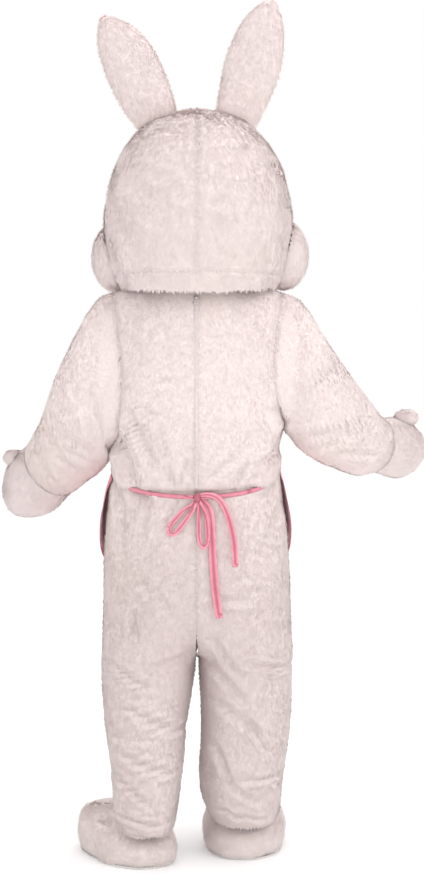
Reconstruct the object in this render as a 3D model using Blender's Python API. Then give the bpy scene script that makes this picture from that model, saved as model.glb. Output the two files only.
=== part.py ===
"""Rabbit mascot costume in its worn, hollow form: plush suit, head, mittens, boots and apron.

Metres, +Z up. The costume's back faces -Y and +X is the wearer's right. The origin lies at
the base of the neck between the shoulders, where the wearer holds the costume up.
"""

import math
from collections import namedtuple

import bmesh
import bpy
import numpy as np

# Clearances and walls
SEAM = 0.0003
LIFT = 0.0005
PLUSH = 0.006
HEAD_WALL = 0.014
BOOT_WALL = 0.008
APRON_CLOTH = 0.0016

# Suit
COLUMNS = 8
SHOULDER_HALF = 0.200
SHOULDER_Z = 0.022
NECK_HALF = 0.088
NECK_DEPTH = 0.082
NECK_Z = 0.046
NECK_SHARE = 0.4
SQUARENESS = 0.65
ROUNDNESS = 0.92
ARMHOLE_CUT = math.radians(33)
ZIP_HALF_GAP = 0.0036
ZIP_BOTTOM_Z = -0.440
ZIP_CLOSING = 0.018

# Floor and boots
FLOOR_Z = -1.325
SOLE = 0.004

Section = namedtuple("Section", "z lift_left lift_right left right back front")
# From the armpits down to the seat; lift is how much higher the row lies at the side seam
TORSO = (
    Section(-0.340, -0.030, 0.030, 0.206, 0.212, 0.170, 0.166),
    Section(-0.385, 0.008, 0.050, 0.205, 0.202, 0.179, 0.170),
    Section(-0.422, 0.038, 0.062, 0.206, 0.199, 0.185, 0.172),
    Section(-0.440, 0.050, 0.065, 0.206, 0.198, 0.179, 0.166),
    Section(-0.449, 0.054, 0.062, 0.203, 0.195, 0.161, 0.155),
    Section(-0.469, 0.058, 0.065, 0.204, 0.196, 0.159, 0.154),
    Section(-0.497, 0.055, 0.062, 0.214, 0.203, 0.168, 0.161),
    Section(-0.550, 0.035, 0.040, 0.222, 0.212, 0.174, 0.166),
    Section(-0.615, 0.010, 0.010, 0.223, 0.219, 0.176, 0.167),
    Section(-0.680, 0.000, 0.000, 0.225, 0.225, 0.174, 0.165),
)
CROTCH_Z = -0.852
CROTCH_STEPS = (27, 50, 70)

HEM_RISE_POWER = 1.6

Leg = namedtuple("Leg", "z outer inner back front shift rise")
# shift is how far the leg stands forward of the shoulders, rise how much its front is raised
LEG_LEFT = (
    Leg(-0.852, 0.231, 0.0012, 0.146, 0.140, 0.000, 0.000),
    Leg(-0.880, 0.2312, 0.0045, 0.141, 0.136, -0.006, 0.000),
    Leg(-0.930, 0.2285, 0.011, 0.135, 0.131, -0.018, 0.000),
    Leg(-0.985, 0.224, 0.021, 0.130, 0.127, -0.032, 0.000),
    Leg(-1.040, 0.218, 0.029, 0.124, 0.121, -0.045, 0.004),
    Leg(-1.095, 0.210, 0.032, 0.120, 0.118, -0.058, 0.012),
    Leg(-1.145, 0.204, 0.036, 0.114, 0.113, -0.070, 0.024),
    Leg(-1.190, 0.200, 0.042, 0.108, 0.108, -0.080, 0.044),
    Leg(-1.225, 0.198, 0.048, 0.102, 0.102, -0.086, 0.053),
    Leg(-1.250, 0.196, 0.054, 0.096, 0.096, -0.090, 0.064),
)
LEG_RIGHT = (
    Leg(-0.852, 0.231, 0.0012, 0.146, 0.140, 0.000, 0.000),
    Leg(-0.880, 0.2265, 0.0035, 0.141, 0.136, 0.000, 0.000),
    Leg(-0.930, 0.2295, 0.0065, 0.136, 0.131, 0.000, 0.000),
    Leg(-0.985, 0.2285, 0.0075, 0.131, 0.127, 0.000, 0.000),
    Leg(-1.040, 0.2225, 0.0065, 0.126, 0.121, 0.000, 0.004),
    Leg(-1.095, 0.2145, 0.0050, 0.121, 0.118, 0.000, 0.012),
    Leg(-1.145, 0.2075, 0.0048, 0.115, 0.113, 0.000, 0.024),
    Leg(-1.190, 0.2045, 0.0080, 0.109, 0.108, 0.000, 0.044),
    Leg(-1.225, 0.2010, 0.0170, 0.102, 0.102, 0.000, 0.053),
    Leg(-1.250, 0.1970, 0.0290, 0.094, 0.094, 0.000, 0.064),
)

Fold = namedtuple("Fold", "side half x z length width slant depth")
# Troughs are positive; x and z are where the fold's middle lies, slant is in degrees from level
FOLDS = (
    Fold(-1, -1, -0.155, -0.300, 0.200, 0.035, -62, 0.011),
    Fold(1, -1, 0.160, -0.270, 0.180, 0.035, 60, 0.011),
    Fold(-1, -1, -0.090, -0.240, 0.170, 0.040, -35, 0.006),
    Fold(1, -1, 0.090, -0.330, 0.150, 0.040, 30, 0.006),
    Fold(-1, -1, -0.150, -0.560, 0.260, 0.040, -76, 0.009),
    Fold(1, -1, 0.110, -0.600, 0.220, 0.045, 70, 0.007),
    Fold(-1, -1, -0.150, -0.775, 0.090, 0.040, -35, 0.011),
    Fold(1, -1, 0.100, -0.880, 0.190, 0.035, -15, 0.012),
    Fold(-1, -1, -0.110, -0.965, 0.150, 0.035, 8, 0.009),
    Fold(-1, -1, -0.115, -1.070, 0.140, 0.035, -8, 0.009),
    Fold(1, -1, 0.110, -1.055, 0.200, 0.035, -38, 0.010),
    Fold(1, -1, 0.100, -1.180, 0.130, 0.030, -12, 0.009),
    Fold(-1, -1, -0.125, -1.180, 0.120, 0.030, 10, 0.009),
    Fold(-1, 1, -0.110, -0.940, 0.170, 0.040, 14, 0.010),
    Fold(1, 1, 0.110, -0.955, 0.170, 0.040, -12, 0.010),
    Fold(-1, 1, -0.110, -1.090, 0.150, 0.035, -10, 0.009),
    Fold(1, 1, 0.110, -1.080, 0.150, 0.035, 12, 0.009),
    Fold(-1, 1, -0.140, -0.270, 0.180, 0.040, -58, 0.009),
    Fold(1, 1, 0.140, -0.270, 0.180, 0.040, 58, 0.009),
)

Cuff = namedtuple("Cuff", "top_x top_z bottom_x bottom_z y half")
SLEEVE_RIGHT = (
    Cuff(0.236, 0.010, 0.219, -0.322, 0.000, 0.088),
    Cuff(0.257, -0.004, 0.235, -0.347, 0.006, 0.098),
    Cuff(0.282, -0.064, 0.272, -0.376, 0.020, 0.102),
    Cuff(0.325, -0.139, 0.310, -0.394, 0.048, 0.100),
    Cuff(0.358, -0.184, 0.343, -0.406, 0.082, 0.096),
    Cuff(0.390, -0.225, 0.372, -0.420, 0.122, 0.090),
    Cuff(0.419, -0.258, 0.402, -0.430, 0.162, 0.082),
    Cuff(0.440, -0.274, 0.431, -0.422, 0.200, 0.070),
)
SLEEVE_LEFT = (
    Cuff(-0.230, 0.012, -0.211, -0.378, 0.000, 0.088),
    Cuff(-0.250, -0.010, -0.219, -0.388, 0.006, 0.096),
    Cuff(-0.272, -0.065, -0.229, -0.401, 0.018, 0.099),
    Cuff(-0.297, -0.115, -0.239, -0.413, 0.036, 0.098),
    Cuff(-0.320, -0.167, -0.252, -0.424, 0.060, 0.096),
    Cuff(-0.345, -0.228, -0.269, -0.437, 0.092, 0.092),
    Cuff(-0.367, -0.273, -0.287, -0.450, 0.128, 0.086),
    Cuff(-0.396, -0.309, -0.303, -0.462, 0.165, 0.080),
    Cuff(-0.4216, -0.3455, -0.316, -0.470, 0.200, 0.070),
)
MITTEN_RIGHT = (
    Cuff(0.453, -0.289, 0.448, -0.417, 0.216, 0.058),
    Cuff(0.476, -0.283, 0.471, -0.432, 0.236, 0.064),
    Cuff(0.506, -0.284, 0.504, -0.441, 0.260, 0.062),
    Cuff(0.539, -0.294, 0.534, -0.433, 0.281, 0.054),
    Cuff(0.562, -0.313, 0.558, -0.413, 0.294, 0.042),
    Cuff(0.574, -0.336, 0.572, -0.390, 0.301, 0.024),
    Cuff(0.578, -0.362, 0.578, -0.362, 0.304, 0.000),
)
MITTEN_LEFT = (
    Cuff(-0.432, -0.357, -0.329, -0.483, 0.216, 0.058),
    Cuff(-0.456, -0.372, -0.346, -0.502, 0.238, 0.064),
    Cuff(-0.479, -0.397, -0.372, -0.524, 0.262, 0.062),
    Cuff(-0.494, -0.429, -0.405, -0.537, 0.282, 0.054),
    Cuff(-0.499, -0.460, -0.440, -0.540, 0.295, 0.042),
    Cuff(-0.496, -0.489, -0.467, -0.534, 0.302, 0.024),
    Cuff(-0.486, -0.516, -0.486, -0.516, 0.305, 0.000),
)

HeadRow = namedtuple("HeadRow", "z half back front")
HEAD_X = 0.002
HEAD = (
    HeadRow(0.454, 0.000, 0.000, 0.000),
    HeadRow(0.449, 0.060, 0.058, 0.065),
    HeadRow(0.434, 0.106, 0.102, 0.112),
    HeadRow(0.406, 0.145, 0.139, 0.152),
    HeadRow(0.366, 0.176, 0.168, 0.184),
    HeadRow(0.316, 0.203, 0.190, 0.209),
    HeadRow(0.262, 0.219, 0.203, 0.225),
    HeadRow(0.200, 0.229, 0.209, 0.235),
    HeadRow(0.140, 0.226, 0.208, 0.237),
    HeadRow(0.095, 0.215, 0.201, 0.230),
    HeadRow(0.060, 0.204, 0.195, 0.220),
)
HEAD_HEM = (
    HeadRow(0.060, 0.204, 0.195, 0.220),
    HeadRow(0.038, 0.197, 0.190, 0.212),
    HeadRow(0.014, 0.188, 0.184, 0.203),
)
HEM_SIDE_RISE = 0.0128
HEAD_COLUMNS = 7

EarRow = namedtuple("EarRow", "x z half")
EAR_LEFT = (
    EarRow(-0.086, 0.400, 0.047),
    EarRow(-0.095, 0.430, 0.052),
    EarRow(-0.110, 0.462, 0.060),
    EarRow(-0.132, 0.509, 0.067),
    EarRow(-0.159, 0.566, 0.068),
    EarRow(-0.184, 0.613, 0.057),
    EarRow(-0.206, 0.645, 0.040),
    EarRow(-0.219, 0.664, 0.021),
    EarRow(-0.225, 0.672, 0.008),
)
EAR_RIGHT = (
    EarRow(0.087, 0.400, 0.046),
    EarRow(0.094, 0.430, 0.050),
    EarRow(0.103, 0.462, 0.057),
    EarRow(0.126, 0.533, 0.069),
    EarRow(0.145, 0.604, 0.066),
    EarRow(0.161, 0.661, 0.050),
    EarRow(0.170, 0.690, 0.032),
    EarRow(0.176, 0.706, 0.016),
    EarRow(0.178, 0.713, 0.006),
)
EAR_BACK_THICK = 0.024
EAR_FRONT_THICK = 0.008
EAR_Y = -0.004

Puff = namedtuple("Puff", "name place radii material")

Boot = namedtuple("Boot", "ankle turn ahead hem_rise")
# hem_rise scales how far the trouser hem is raised over the instep, so that it rests on it
BOOTS = {
    "left": Boot((-0.127, -0.098), math.radians(30.0), 0.008, 0.940),
    "right": Boot((0.112, -0.010), math.radians(-2.0), 0.000, 0.700),
}
BootRow = namedtuple("BootRow", "heel_z toe_z shift length half")
BOOT = (
    BootRow(-1.140, -1.140, 0.000, 0.047, 0.046),
    BootRow(-1.185, -1.170, 0.002, 0.049, 0.047),
    BootRow(-1.226, -1.203, 0.010, 0.056, 0.050),
    BootRow(-1.240, -1.212, 0.055, 0.102, 0.066),
    BootRow(-1.250, -1.217, 0.084, 0.129, 0.086),
    BootRow(-1.266, -1.236, 0.082, 0.150, 0.100),
    BootRow(-1.290, -1.272, 0.076, 0.165, 0.104),
    BootRow(-1.310, -1.306, 0.074, 0.164, 0.101),
    BootRow(FLOOR_Z + SOLE + SEAM, FLOOR_Z + SOLE + SEAM, 0.074, 0.156, 0.094),
)
BOOT_COLUMNS = 22

# Apron, its ties and its bow; a turn of 0 is the centre back, 1 the wearer's right side
WAIST_ROW = 4
TIE_HALF = 0.0066
TIE_THICK = 0.0042
APRON_SIDE_Z = -0.520
APRON_MIDDLE_Z = -0.690
APRON_START_TURN = 0.985
APRON_END_TURN = 3.085
APRON_ROWS = 6
APRON_CLEAR = 0.0022
APRON_FLARE = 0.008
BINDING_HALF = 0.0052
BINDING_THICK = 0.0034
KNOT = (0.0015, -0.1715, -0.4600)
KNOT_RADII = (0.0085, 0.0080, 0.0115)
RIBBON_THICK = 0.0034
RIBBON_PITCH = 0.0043
GATHERED_HALF = 0.0034

Strand = namedtuple("Strand", "name route first_layer last_layer half")
# Routes are (x, z) from the knot; layer 0 lies on the suit and each next one on the last
BOW = (
    Strand("bow_loop_left", (
        (-0.0015, -0.4665), (-0.0110, -0.4785), (-0.0290, -0.4890), (-0.0490, -0.5090), (-0.0640, -0.5310),
        (-0.0610, -0.5450), (-0.0460, -0.5400), (-0.0290, -0.5180), (-0.0130, -0.4950), (-0.0035, -0.4790),
        (-0.0002, -0.4665),
    ), 1.0, 2.0, 0.0058),
    Strand("bow_loop_right", (
        (0.0040, -0.4665), (0.0052, -0.4830), (0.0055, -0.5080), (0.0050, -0.5400), (0.0085, -0.5660),
        (0.0165, -0.5755), (0.0250, -0.5640), (0.0255, -0.5360), (0.0215, -0.5020), (0.0115, -0.4780),
        (0.0045, -0.4660),
    ), 1.0, 2.0, 0.0054),
    Strand("bow_tail_long", (
        (0.0055, -0.4625), (0.0150, -0.4700), (0.0250, -0.4790), (0.0325, -0.5000), (0.0350, -0.5350),
        (0.0370, -0.5850), (0.0400, -0.6350), (0.0450, -0.6900), (0.0530, -0.7390),
    ), 0.0, 0.0, 0.0094),
    Strand("bow_tail_short", (
        (0.0050, -0.4560), (0.0200, -0.4530), (0.0400, -0.4560), (0.0560, -0.4680), (0.0700, -0.4950),
        (0.0820, -0.5350), (0.0885, -0.5800), (0.0895, -0.6200),
    ), 2.6, 0.8, 0.0078),
)

# Zip: the slider's frame has its origin on the pin, -Z along the zip and -Y out of the cloth
ZIP_HALF = 0.0032
ZIP_THICK = 0.0030
ZIP_SUNK = 0.0015
SLIDER_Z = 0.0000
PIN_OUT = 0.0042
PIN_RADIUS = 0.0008
BARREL_RADIUS = 0.0024
BARREL_HOLE = 0.0012
BARREL_HALF = 0.0021
TAB_LENGTH = 0.0180
TAB_HALF = 0.0055
TAB_THICK = 0.0014


def collection(name):
    made = bpy.data.collections.new(name)
    bpy.context.scene.collection.children.link(made)
    return made


def material(name, colour, roughness, metallic=0.0):
    made = bpy.data.materials.new(name)
    made.use_nodes = True
    shader = made.node_tree.nodes["Principled BSDF"]
    shader.inputs["Base Color"].default_value = (*colour, 1.0)
    shader.inputs["Roughness"].default_value = roughness
    shader.inputs["Metallic"].default_value = metallic
    return made


def unit(vector):
    size = np.linalg.norm(vector)
    return vector / size if size > 1e-12 else vector


def new_object(name, points, faces, finish, where):
    """An object from points and faces, its coincident points made one."""
    mesh = bpy.data.meshes.new(name)
    mesh.from_pydata([tuple(p) for p in points], [], faces)
    work = bmesh.new()
    work.from_mesh(mesh)
    bmesh.ops.remove_doubles(work, verts=work.verts, dist=1e-6)
    bmesh.ops.recalc_face_normals(work, faces=work.faces)
    work.to_mesh(mesh)
    work.free()
    mesh.shade_smooth()
    made = bpy.data.objects.new(name, mesh)
    if finish:
        mesh.materials.append(finish)
    where.objects.link(made)
    return made


def quads(rows, columns, wrap):
    """Corner numbers of a grid's faces."""
    last = columns if wrap else columns - 1
    return [
        (i * columns + j, i * columns + (j + 1) % columns,
         (i + 1) * columns + (j + 1) % columns, (i + 1) * columns + j)
        for i in range(rows - 1)
        for j in range(last)
    ]


def grid_normals(grid, axis, wrap):
    """The outward sum of the face normals at each point of a grid, whose rows go round axis."""
    rows, columns = grid.shape[:2]
    flat = grid.reshape(-1, 3)
    total = np.zeros_like(flat)
    for face in quads(rows, columns, wrap):
        a, b, c, d = (flat[k] for k in face)
        across = np.cross(c - a, d - b)
        for k in face:
            total[k] += across
    total = total.reshape(grid.shape)
    outward = (total * (grid - axis[:, None, :])).sum()
    return total if outward > 0 else -total


# ring is the whole tube, and the columns of it, that a piece is one half of
Piece = namedtuple("Piece", "name grid axis wall finish wrap wide_edge ring")


class Pattern:
    """Pieces cut from one form. They share their seam points, where their walls are mitred."""

    def __init__(self):
        self.pieces = []

    def add(self, name, grid, axis, wall, finish, wrap=False, wide_edge=None, ring=None):
        self.pieces.append(Piece(name, np.array(grid), np.array(axis), wall, finish, wrap, wide_edge, ring))

    def sew(self, where):
        """Makes each piece's solid and returns its outer grid, normals and mesh by name."""
        shared = {}
        for piece in self.pieces:
            sums = grid_normals(piece.grid, piece.axis, piece.wrap)
            for point, normal in zip(piece.grid.reshape(-1, 3), sums.reshape(-1, 3)):
                key = tuple(np.round(point, 5) + 0.0)
                shared[key] = shared.get(key, 0) + unit(normal)

        def sewn_normals(grid):
            found = [unit(shared[tuple(np.round(point, 5) + 0.0)]) for point in grid.reshape(-1, 3)]
            return np.array(found).reshape(grid.shape)

        made = {}
        for piece in self.pieces:
            normals = sewn_normals(piece.grid)
            if piece.ring is None:
                ends = trimmed_ends(piece.grid, normals)
            else:
                ends = trimmed_ends(piece.ring[0], sewn_normals(piece.ring[0]))[:, piece.ring[1]]
            outer = piece.grid + ends
            if not piece.wrap:
                outer += trimmed_sides(piece.grid, normals, piece.wide_edge)
            inner = outer - normals * piece.wall
            solid = wall_solid(piece.name, outer, inner, piece.finish, piece.wrap, where)
            made[piece.name] = (outer, normals, solid)
        return made


def pulled(edge, inside, normals, widths):
    """How far each point of an edge moves into its piece, by its width."""
    along = np.gradient(edge, axis=0)
    moved = np.zeros_like(edge)
    for k in range(len(edge)):
        if np.linalg.norm(along[k]) < 1e-7:
            continue
        inward = unit(np.cross(normals[k], along[k]))
        if inward @ (inside[k] - edge[k]) < 0:
            inward = -inward
        moved[k] = inward * widths[k]
    return moved


def trimmed_ends(grid, normals):
    """Takes half of the seam's gap off the first and last rows."""
    moved = np.zeros_like(grid)
    widths = np.full(grid.shape[1], SEAM / 2)
    for first, second in ((0, 1), (len(grid) - 1, len(grid) - 2)):
        if np.ptp(grid[first], axis=0).max() < 1e-7:
            moved[first] = unit((grid[second] - grid[first]).mean(axis=0)) * SEAM
        else:
            moved[first] = pulled(grid[first], grid[second], normals[first], widths)
    return moved


def trimmed_sides(grid, normals, wide_edge):
    """Takes half of the seam's gap off the first and last columns, or more off the first."""
    moved = np.zeros_like(grid)
    last = grid.shape[1] - 1
    half = np.full(len(grid), SEAM / 2)
    first_widths = half if wide_edge is None else wide_edge
    moved[:, 0] = pulled(grid[:, 0], grid[:, 1], normals[:, 0], first_widths)
    moved[:, last] = pulled(grid[:, last], grid[:, last - 1], normals[:, last], half)
    return moved


def rim(points, a, b, size):
    """The wall's edge between outer points a and b, split the same way on both sides of a seam."""
    slope = np.array([1.0, 1.37, 1.91])
    if points[a] @ slope < points[b] @ slope:
        return [(a, b, size + b), (a, size + b, size + a)]
    return [(a, b, size + a), (b, size + b, size + a)]


def wall_solid(name, outer, inner, finish, wrap, where):
    """A closed wall between two grids of the same shape."""
    rows, columns = outer.shape[:2]
    size = rows * columns
    points = [*outer.reshape(-1, 3), *inner.reshape(-1, 3)]
    skin = quads(rows, columns, wrap)
    faces = skin + [tuple(size + k for k in reversed(face)) for face in skin]
    last = columns if wrap else columns - 1
    for i in (0, rows - 1):
        for j in range(last):
            faces += rim(points, i * columns + j, i * columns + (j + 1) % columns, size)
    if not wrap:
        for j in (0, columns - 1):
            for i in range(rows - 1):
                faces += rim(points, i * columns + j, (i + 1) * columns + j, size)
    return new_object(name, points, faces, finish, where)


def loft(name, rings, finish, where):
    """A closed solid through rings with the same number of points, capped at both ends."""
    grid = np.array(rings)
    rows, columns = grid.shape[:2]
    faces = quads(rows, columns, True)
    faces.append(tuple(reversed(range(columns))))
    faces.append(tuple(range((rows - 1) * columns, rows * columns)))
    return new_object(name, grid.reshape(-1, 3), faces, finish, where)


def band_rings(route, normals, half_widths, thick, sides=8):
    """Rings of a flattened band along a route; its flat side faces the normals."""
    route = np.array(route)
    along = np.gradient(route, axis=0)
    rings = []
    for point, forward, normal, half in zip(route, along, normals, half_widths):
        across = unit(np.cross(forward, normal))
        out = unit(np.cross(across, forward))
        ring = []
        for k in range(sides):
            angle = 2 * math.pi * (k + 0.5) / sides
            ring.append(point + across * half * math.cos(angle) + out * thick / 2 * math.sin(angle))
        rings.append(ring)
    return np.array(rings)


def smooth_route(points, steps):
    """Points read evenly from a Catmull-Rom curve through a route."""
    points = np.array(points, float)
    ends = np.vstack([2 * points[0] - points[1], points, 2 * points[-1] - points[-2]])
    found = []
    for k in range(len(points) - 1):
        a, b, c, d = ends[k:k + 4]
        for step in range(steps):
            t = step / steps
            found.append(0.5 * ((2 * b) + (c - a) * t + (2 * a - 5 * b + 4 * c - d) * t ** 2
                                + (3 * b - a - 3 * c + d) * t ** 3))
    return np.array([*found, points[-1]])


def cut(piece, cutter):
    change = piece.modifiers.new("cut", "BOOLEAN")
    change.operation = "DIFFERENCE"
    change.solver = "EXACT"
    change.object = cutter


def add_to(piece, other):
    change = piece.modifiers.new("join", "BOOLEAN")
    change.operation = "UNION"
    change.solver = "EXACT"
    change.object = other


def cutter_from(name, grid, normals, gap, where):
    """A closed form of a grid's outside, moved out by gap."""
    form = loft(name, grid + normals * gap, None, where)
    return hidden(form)


def hidden(piece):
    piece.hide_render = True
    piece.display_type = "WIRE"
    return piece


def bent(value, power):
    return math.copysign(abs(value) ** power, value)


def top_line(side, s):
    """The neck edge and then the shoulder seam, from the centre to the shoulder's end."""
    if s < NECK_SHARE:
        angle = s / NECK_SHARE * math.pi / 2
        return np.array([side * NECK_HALF * math.sin(angle), NECK_DEPTH * math.cos(angle), NECK_Z])
    share = (s - NECK_SHARE) / (1 - NECK_SHARE)
    x = NECK_HALF + (SHOULDER_HALF - NECK_HALF) * share
    z = NECK_Z + (SHOULDER_Z - NECK_Z) * share ** 1.6
    return np.array([side * x, 0.0, z])


def torso_point(side, half, s, row, end_angle=math.pi / 2):
    """A point of a torso row: s runs from the centre, 0, to the side seam, 1."""
    width = row.right if side > 0 else row.left
    lift = row.lift_right if side > 0 else row.lift_left
    depth = row.back if half < 0 else row.front
    angle = s * end_angle
    x = side * width * bent(math.sin(angle), ROUNDNESS)
    y = half * depth * bent(math.cos(angle), ROUNDNESS)
    return np.array([x, y if s < 1 or end_angle < math.pi / 2 else 0.0, row.z + lift * s * s])


def yoke_point(side, half, s, q):
    """A point above the armpits; q runs from the neck and shoulder seam, 0, to the armpit, 1."""
    drop = 1 - math.cos(q * math.pi / 2) ** SQUARENESS if q < 1 else 1.0
    spread = math.sin(q * math.pi / 2) ** SQUARENESS
    end = math.pi / 2 - ARMHOLE_CUT * math.sqrt(max(0.0, 4 * drop * (1 - drop)))
    top = top_line(side, s) * np.array([1, half, 1])
    low = torso_point(side, half, s, TORSO[0], end)
    flat = top[:2] + (low[:2] - top[:2]) * spread
    return np.array([*flat, top[2] + (low[2] - top[2]) * drop])


def leg_point(side, half, s, row):
    """A point of a leg row: s runs from the inseam, 0, to the side seam, 1."""
    angle = s * math.pi
    middle, radius = (row.outer + row.inner) / 2, (row.outer - row.inner) / 2
    depth = row.back if half < 0 else row.front
    around = math.sin(angle) if s < 1 else 0.0
    boot = BOOTS["right" if side > 0 else "left"]
    ahead = side * math.cos(angle) * math.sin(boot.turn) + half * around * math.cos(boot.turn)
    rise = row.rise * boot.hem_rise * ((ahead + 1) / 2) ** HEM_RISE_POWER
    return np.array([
        side * (middle - radius * math.cos(angle)), half * depth * around + row.shift, row.z + rise
    ])


def mixed_leg(side, half, s, degrees):
    """A point between the seat and the crotch, where the half torso closes into a leg."""
    angle = math.radians(degrees)
    blend = (1 - math.cos(angle)) * (1 - s) + math.sin(angle) * s
    seat, leg = TORSO[-1], (LEG_RIGHT if side > 0 else LEG_LEFT)[0]
    point = torso_point(side, half, s, seat) * (1 - blend) + leg_point(side, half, s, leg) * blend
    point[2] = seat.z + (CROTCH_Z - seat.z) * math.sin(angle)
    if s == 0:
        point[0] = 0.0
    return point


YOKE_STEPS = (0, 0.11, 0.22, 0.33, 0.45, 0.57, 0.69, 0.80, 0.90, 0.965)


def folded(point, side, half, centre):
    """The point moved in by the folds that pass it."""
    inward = unit(np.array([centre[0] - point[0], centre[1] - point[1], 0.0]))
    for fold in FOLDS:
        if fold.side != side or fold.half != half:
            continue
        slant = math.radians(fold.slant)
        dx, dz = point[0] - fold.x, point[2] - fold.z
        along = (dx * math.cos(slant) + dz * math.sin(slant)) / (fold.length / 2)
        across = (dz * math.cos(slant) - dx * math.sin(slant)) / (fold.width / 2)
        point = point + inward * fold.depth * math.exp(-along ** 4 - across ** 2)
    return point


def suit_panel(side, half):
    """The outer grid of a suit panel and the axis point of each of its rows."""
    legs = LEG_RIGHT if side > 0 else LEG_LEFT
    steps = [k / COLUMNS for k in range(COLUMNS + 1)]
    grid, axis = [], []
    for q in YOKE_STEPS:
        grid.append([yoke_point(side, half, s, q) for s in steps])
        axis.append((side * 0.05, 0.0, -0.2))
    for row in TORSO:
        grid.append([torso_point(side, half, s, row) for s in steps])
        axis.append((0.0, 0.0, row.z))
    for degrees in CROTCH_STEPS:
        grid.append([mixed_leg(side, half, s, degrees) for s in steps])
        axis.append((side * 0.08, 0.0, grid[-1][0][2]))
    for row in legs:
        grid.append([leg_point(side, half, s, row) for s in steps])
        axis.append((side * (row.outer + row.inner) / 2, row.shift, row.z))
    yoke = len(YOKE_STEPS)
    for i in range(2, len(grid)):
        for j in range(1, COLUMNS):
            if i > yoke or j < COLUMNS - 1:
                grid[i][j] = folded(grid[i][j], side, half, axis[i])
    return np.array(grid), np.array(axis)


def tube_rings(rows, count, start):
    """Rings between each row's top and bottom points, from the top round the back."""
    centres = [np.array([(r.top_x + r.bottom_x) / 2, r.y, (r.top_z + r.bottom_z) / 2]) for r in rows]
    before = [start, *centres]
    grid = []
    for k, row in enumerate(rows):
        ahead = centres[k + 1] if k + 1 < len(rows) else centres[k]
        forward = unit(ahead - before[k])
        up = np.array([(row.top_x - row.bottom_x) / 2, 0.0, (row.top_z - row.bottom_z) / 2])
        side = unit(np.cross(forward, up))
        side = side if side[1] < 0 or abs(side[1]) < 1e-9 else -side
        angles = [2 * math.pi * j / count for j in range(count)]
        grid.append([centres[k] + up * math.cos(a) + side * row.half * math.sin(a) for a in angles])
    return np.array(grid), np.array(centres)


def head_grid(rows, side_rise=0.0):
    """The head's rows all round, from the centre back over +X."""
    count = HEAD_COLUMNS * 4
    grid = []
    for k, row in enumerate(rows):
        ring = []
        for j in range(count):
            angle = 2 * math.pi * j / count
            depth = row.back if math.cos(angle) > 0 else row.front
            x = HEAD_X + row.half * bent(math.sin(angle), 0.94)
            y = -depth * bent(math.cos(angle), 0.94)
            rise = side_rise * k / (len(rows) - 1) * math.sin(angle) ** 2
            ring.append((x, y, row.z + rise))
        grid.append(ring)
    return np.array(grid)


def ear_half(rows, back):
    """Rings of an ear's back or front piece: a rounded outside on a flat inner face."""
    rings = []
    for k, row in enumerate(rows):
        ahead = rows[min(k + 1, len(rows) - 1)]
        behind = rows[max(k - 1, 0)]
        forward = unit(np.array([ahead.x - behind.x, 0.0, ahead.z - behind.z]))
        across = np.array([forward[2], 0.0, -forward[0]])
        centre = np.array([row.x, EAR_Y, row.z])
        full = min(1.0, row.half / 0.055)
        ring = []
        half = row.half if back else row.half * 0.78
        bulge = (-EAR_BACK_THICK if back else EAR_FRONT_THICK) * full
        gap = -SEAM / 2 if back else SEAM / 2
        for j in range(9):
            angle = math.pi * j / 8
            ring.append(centre + across * half * math.cos(angle)
                        + np.array([0, gap + bulge * math.sin(angle), 0]))
        for j in range(1, 6):
            share = 1 - 2 * j / 6
            ring.append(centre - across * half * share + np.array([0, gap, 0]))
        rings.append(ring)
    return rings


def puff(spec, where):
    """A stuffed, rounded piece."""
    work = bmesh.new()
    bmesh.ops.create_uvsphere(work, u_segments=14, v_segments=8, radius=1.0)
    bmesh.ops.scale(work, vec=spec.radii, verts=work.verts)
    mesh = bpy.data.meshes.new(spec.name)
    work.to_mesh(mesh)
    work.free()
    mesh.shade_smooth()
    mesh.materials.append(spec.material)
    made = bpy.data.objects.new(spec.name, mesh)
    made.location = spec.place
    where.objects.link(made)
    return made


def boot_rings(boot):
    heading = np.array([-math.sin(boot.turn), math.cos(boot.turn)])
    across = np.array([heading[1], -heading[0]])
    grid = []
    for k, row in enumerate(BOOT):
        centre = np.array(boot.ankle) + heading * (row.shift + boot.ahead * min(1.0, k / 4))
        ring = []
        for j in range(BOOT_COLUMNS):
            angle = 2 * math.pi * j / BOOT_COLUMNS
            flat = (centre - heading * row.length * bent(math.cos(angle), 0.9)
                    + across * row.half * bent(math.sin(angle), 0.9))
            toe = (1 - bent(math.cos(angle), 0.9)) / 2
            ring.append((*flat, row.heel_z + (row.toe_z - row.heel_z) * toe))
        grid.append(ring)
    axis = [(*(np.array(boot.ankle) + heading * row.shift), row.heel_z) for row in BOOT]
    return np.array(grid), np.array(axis)


def main():
    for old in list(bpy.data.objects):
        bpy.data.objects.remove(old, do_unlink=True)
    parts = collection("rabbit_mascot_costume")
    cutters = collection("cutters")

    plush = material("white_plush", (0.84, 0.77, 0.76), 0.95)
    pink_plush = material("pink_plush", (0.87, 0.55, 0.60), 0.95)
    pink_cloth = material("pink_cloth", (0.86, 0.28, 0.38), 0.55)
    sole_rubber = material("sole", (0.75, 0.72, 0.70), 0.8)
    eye_black = material("eye_black", (0.02, 0.02, 0.02), 0.15)
    nose_pink = material("nose_pink", (0.80, 0.35, 0.40), 0.6)
    zip_tape = material("zip_tape", (0.70, 0.63, 0.62), 0.7)
    zip_metal = material("zip_metal", (0.75, 0.72, 0.70), 0.35, 0.6)

    quarters = suit(parts, cutters, plush)
    head(parts, cutters, plush, pink_plush, eye_black, nose_pink)
    boots(parts, plush, sole_rubber)
    apron(parts, cutters, pink_cloth, quarters)
    zip_pieces(parts, cutters, zip_tape, zip_metal, quarters)


def halves(grid, half):
    """The back and front halves of rings that start at the top and go round the back."""
    return grid[:, :half + 1], np.concatenate([grid[:, half:], grid[:, :1]], axis=1)


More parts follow.
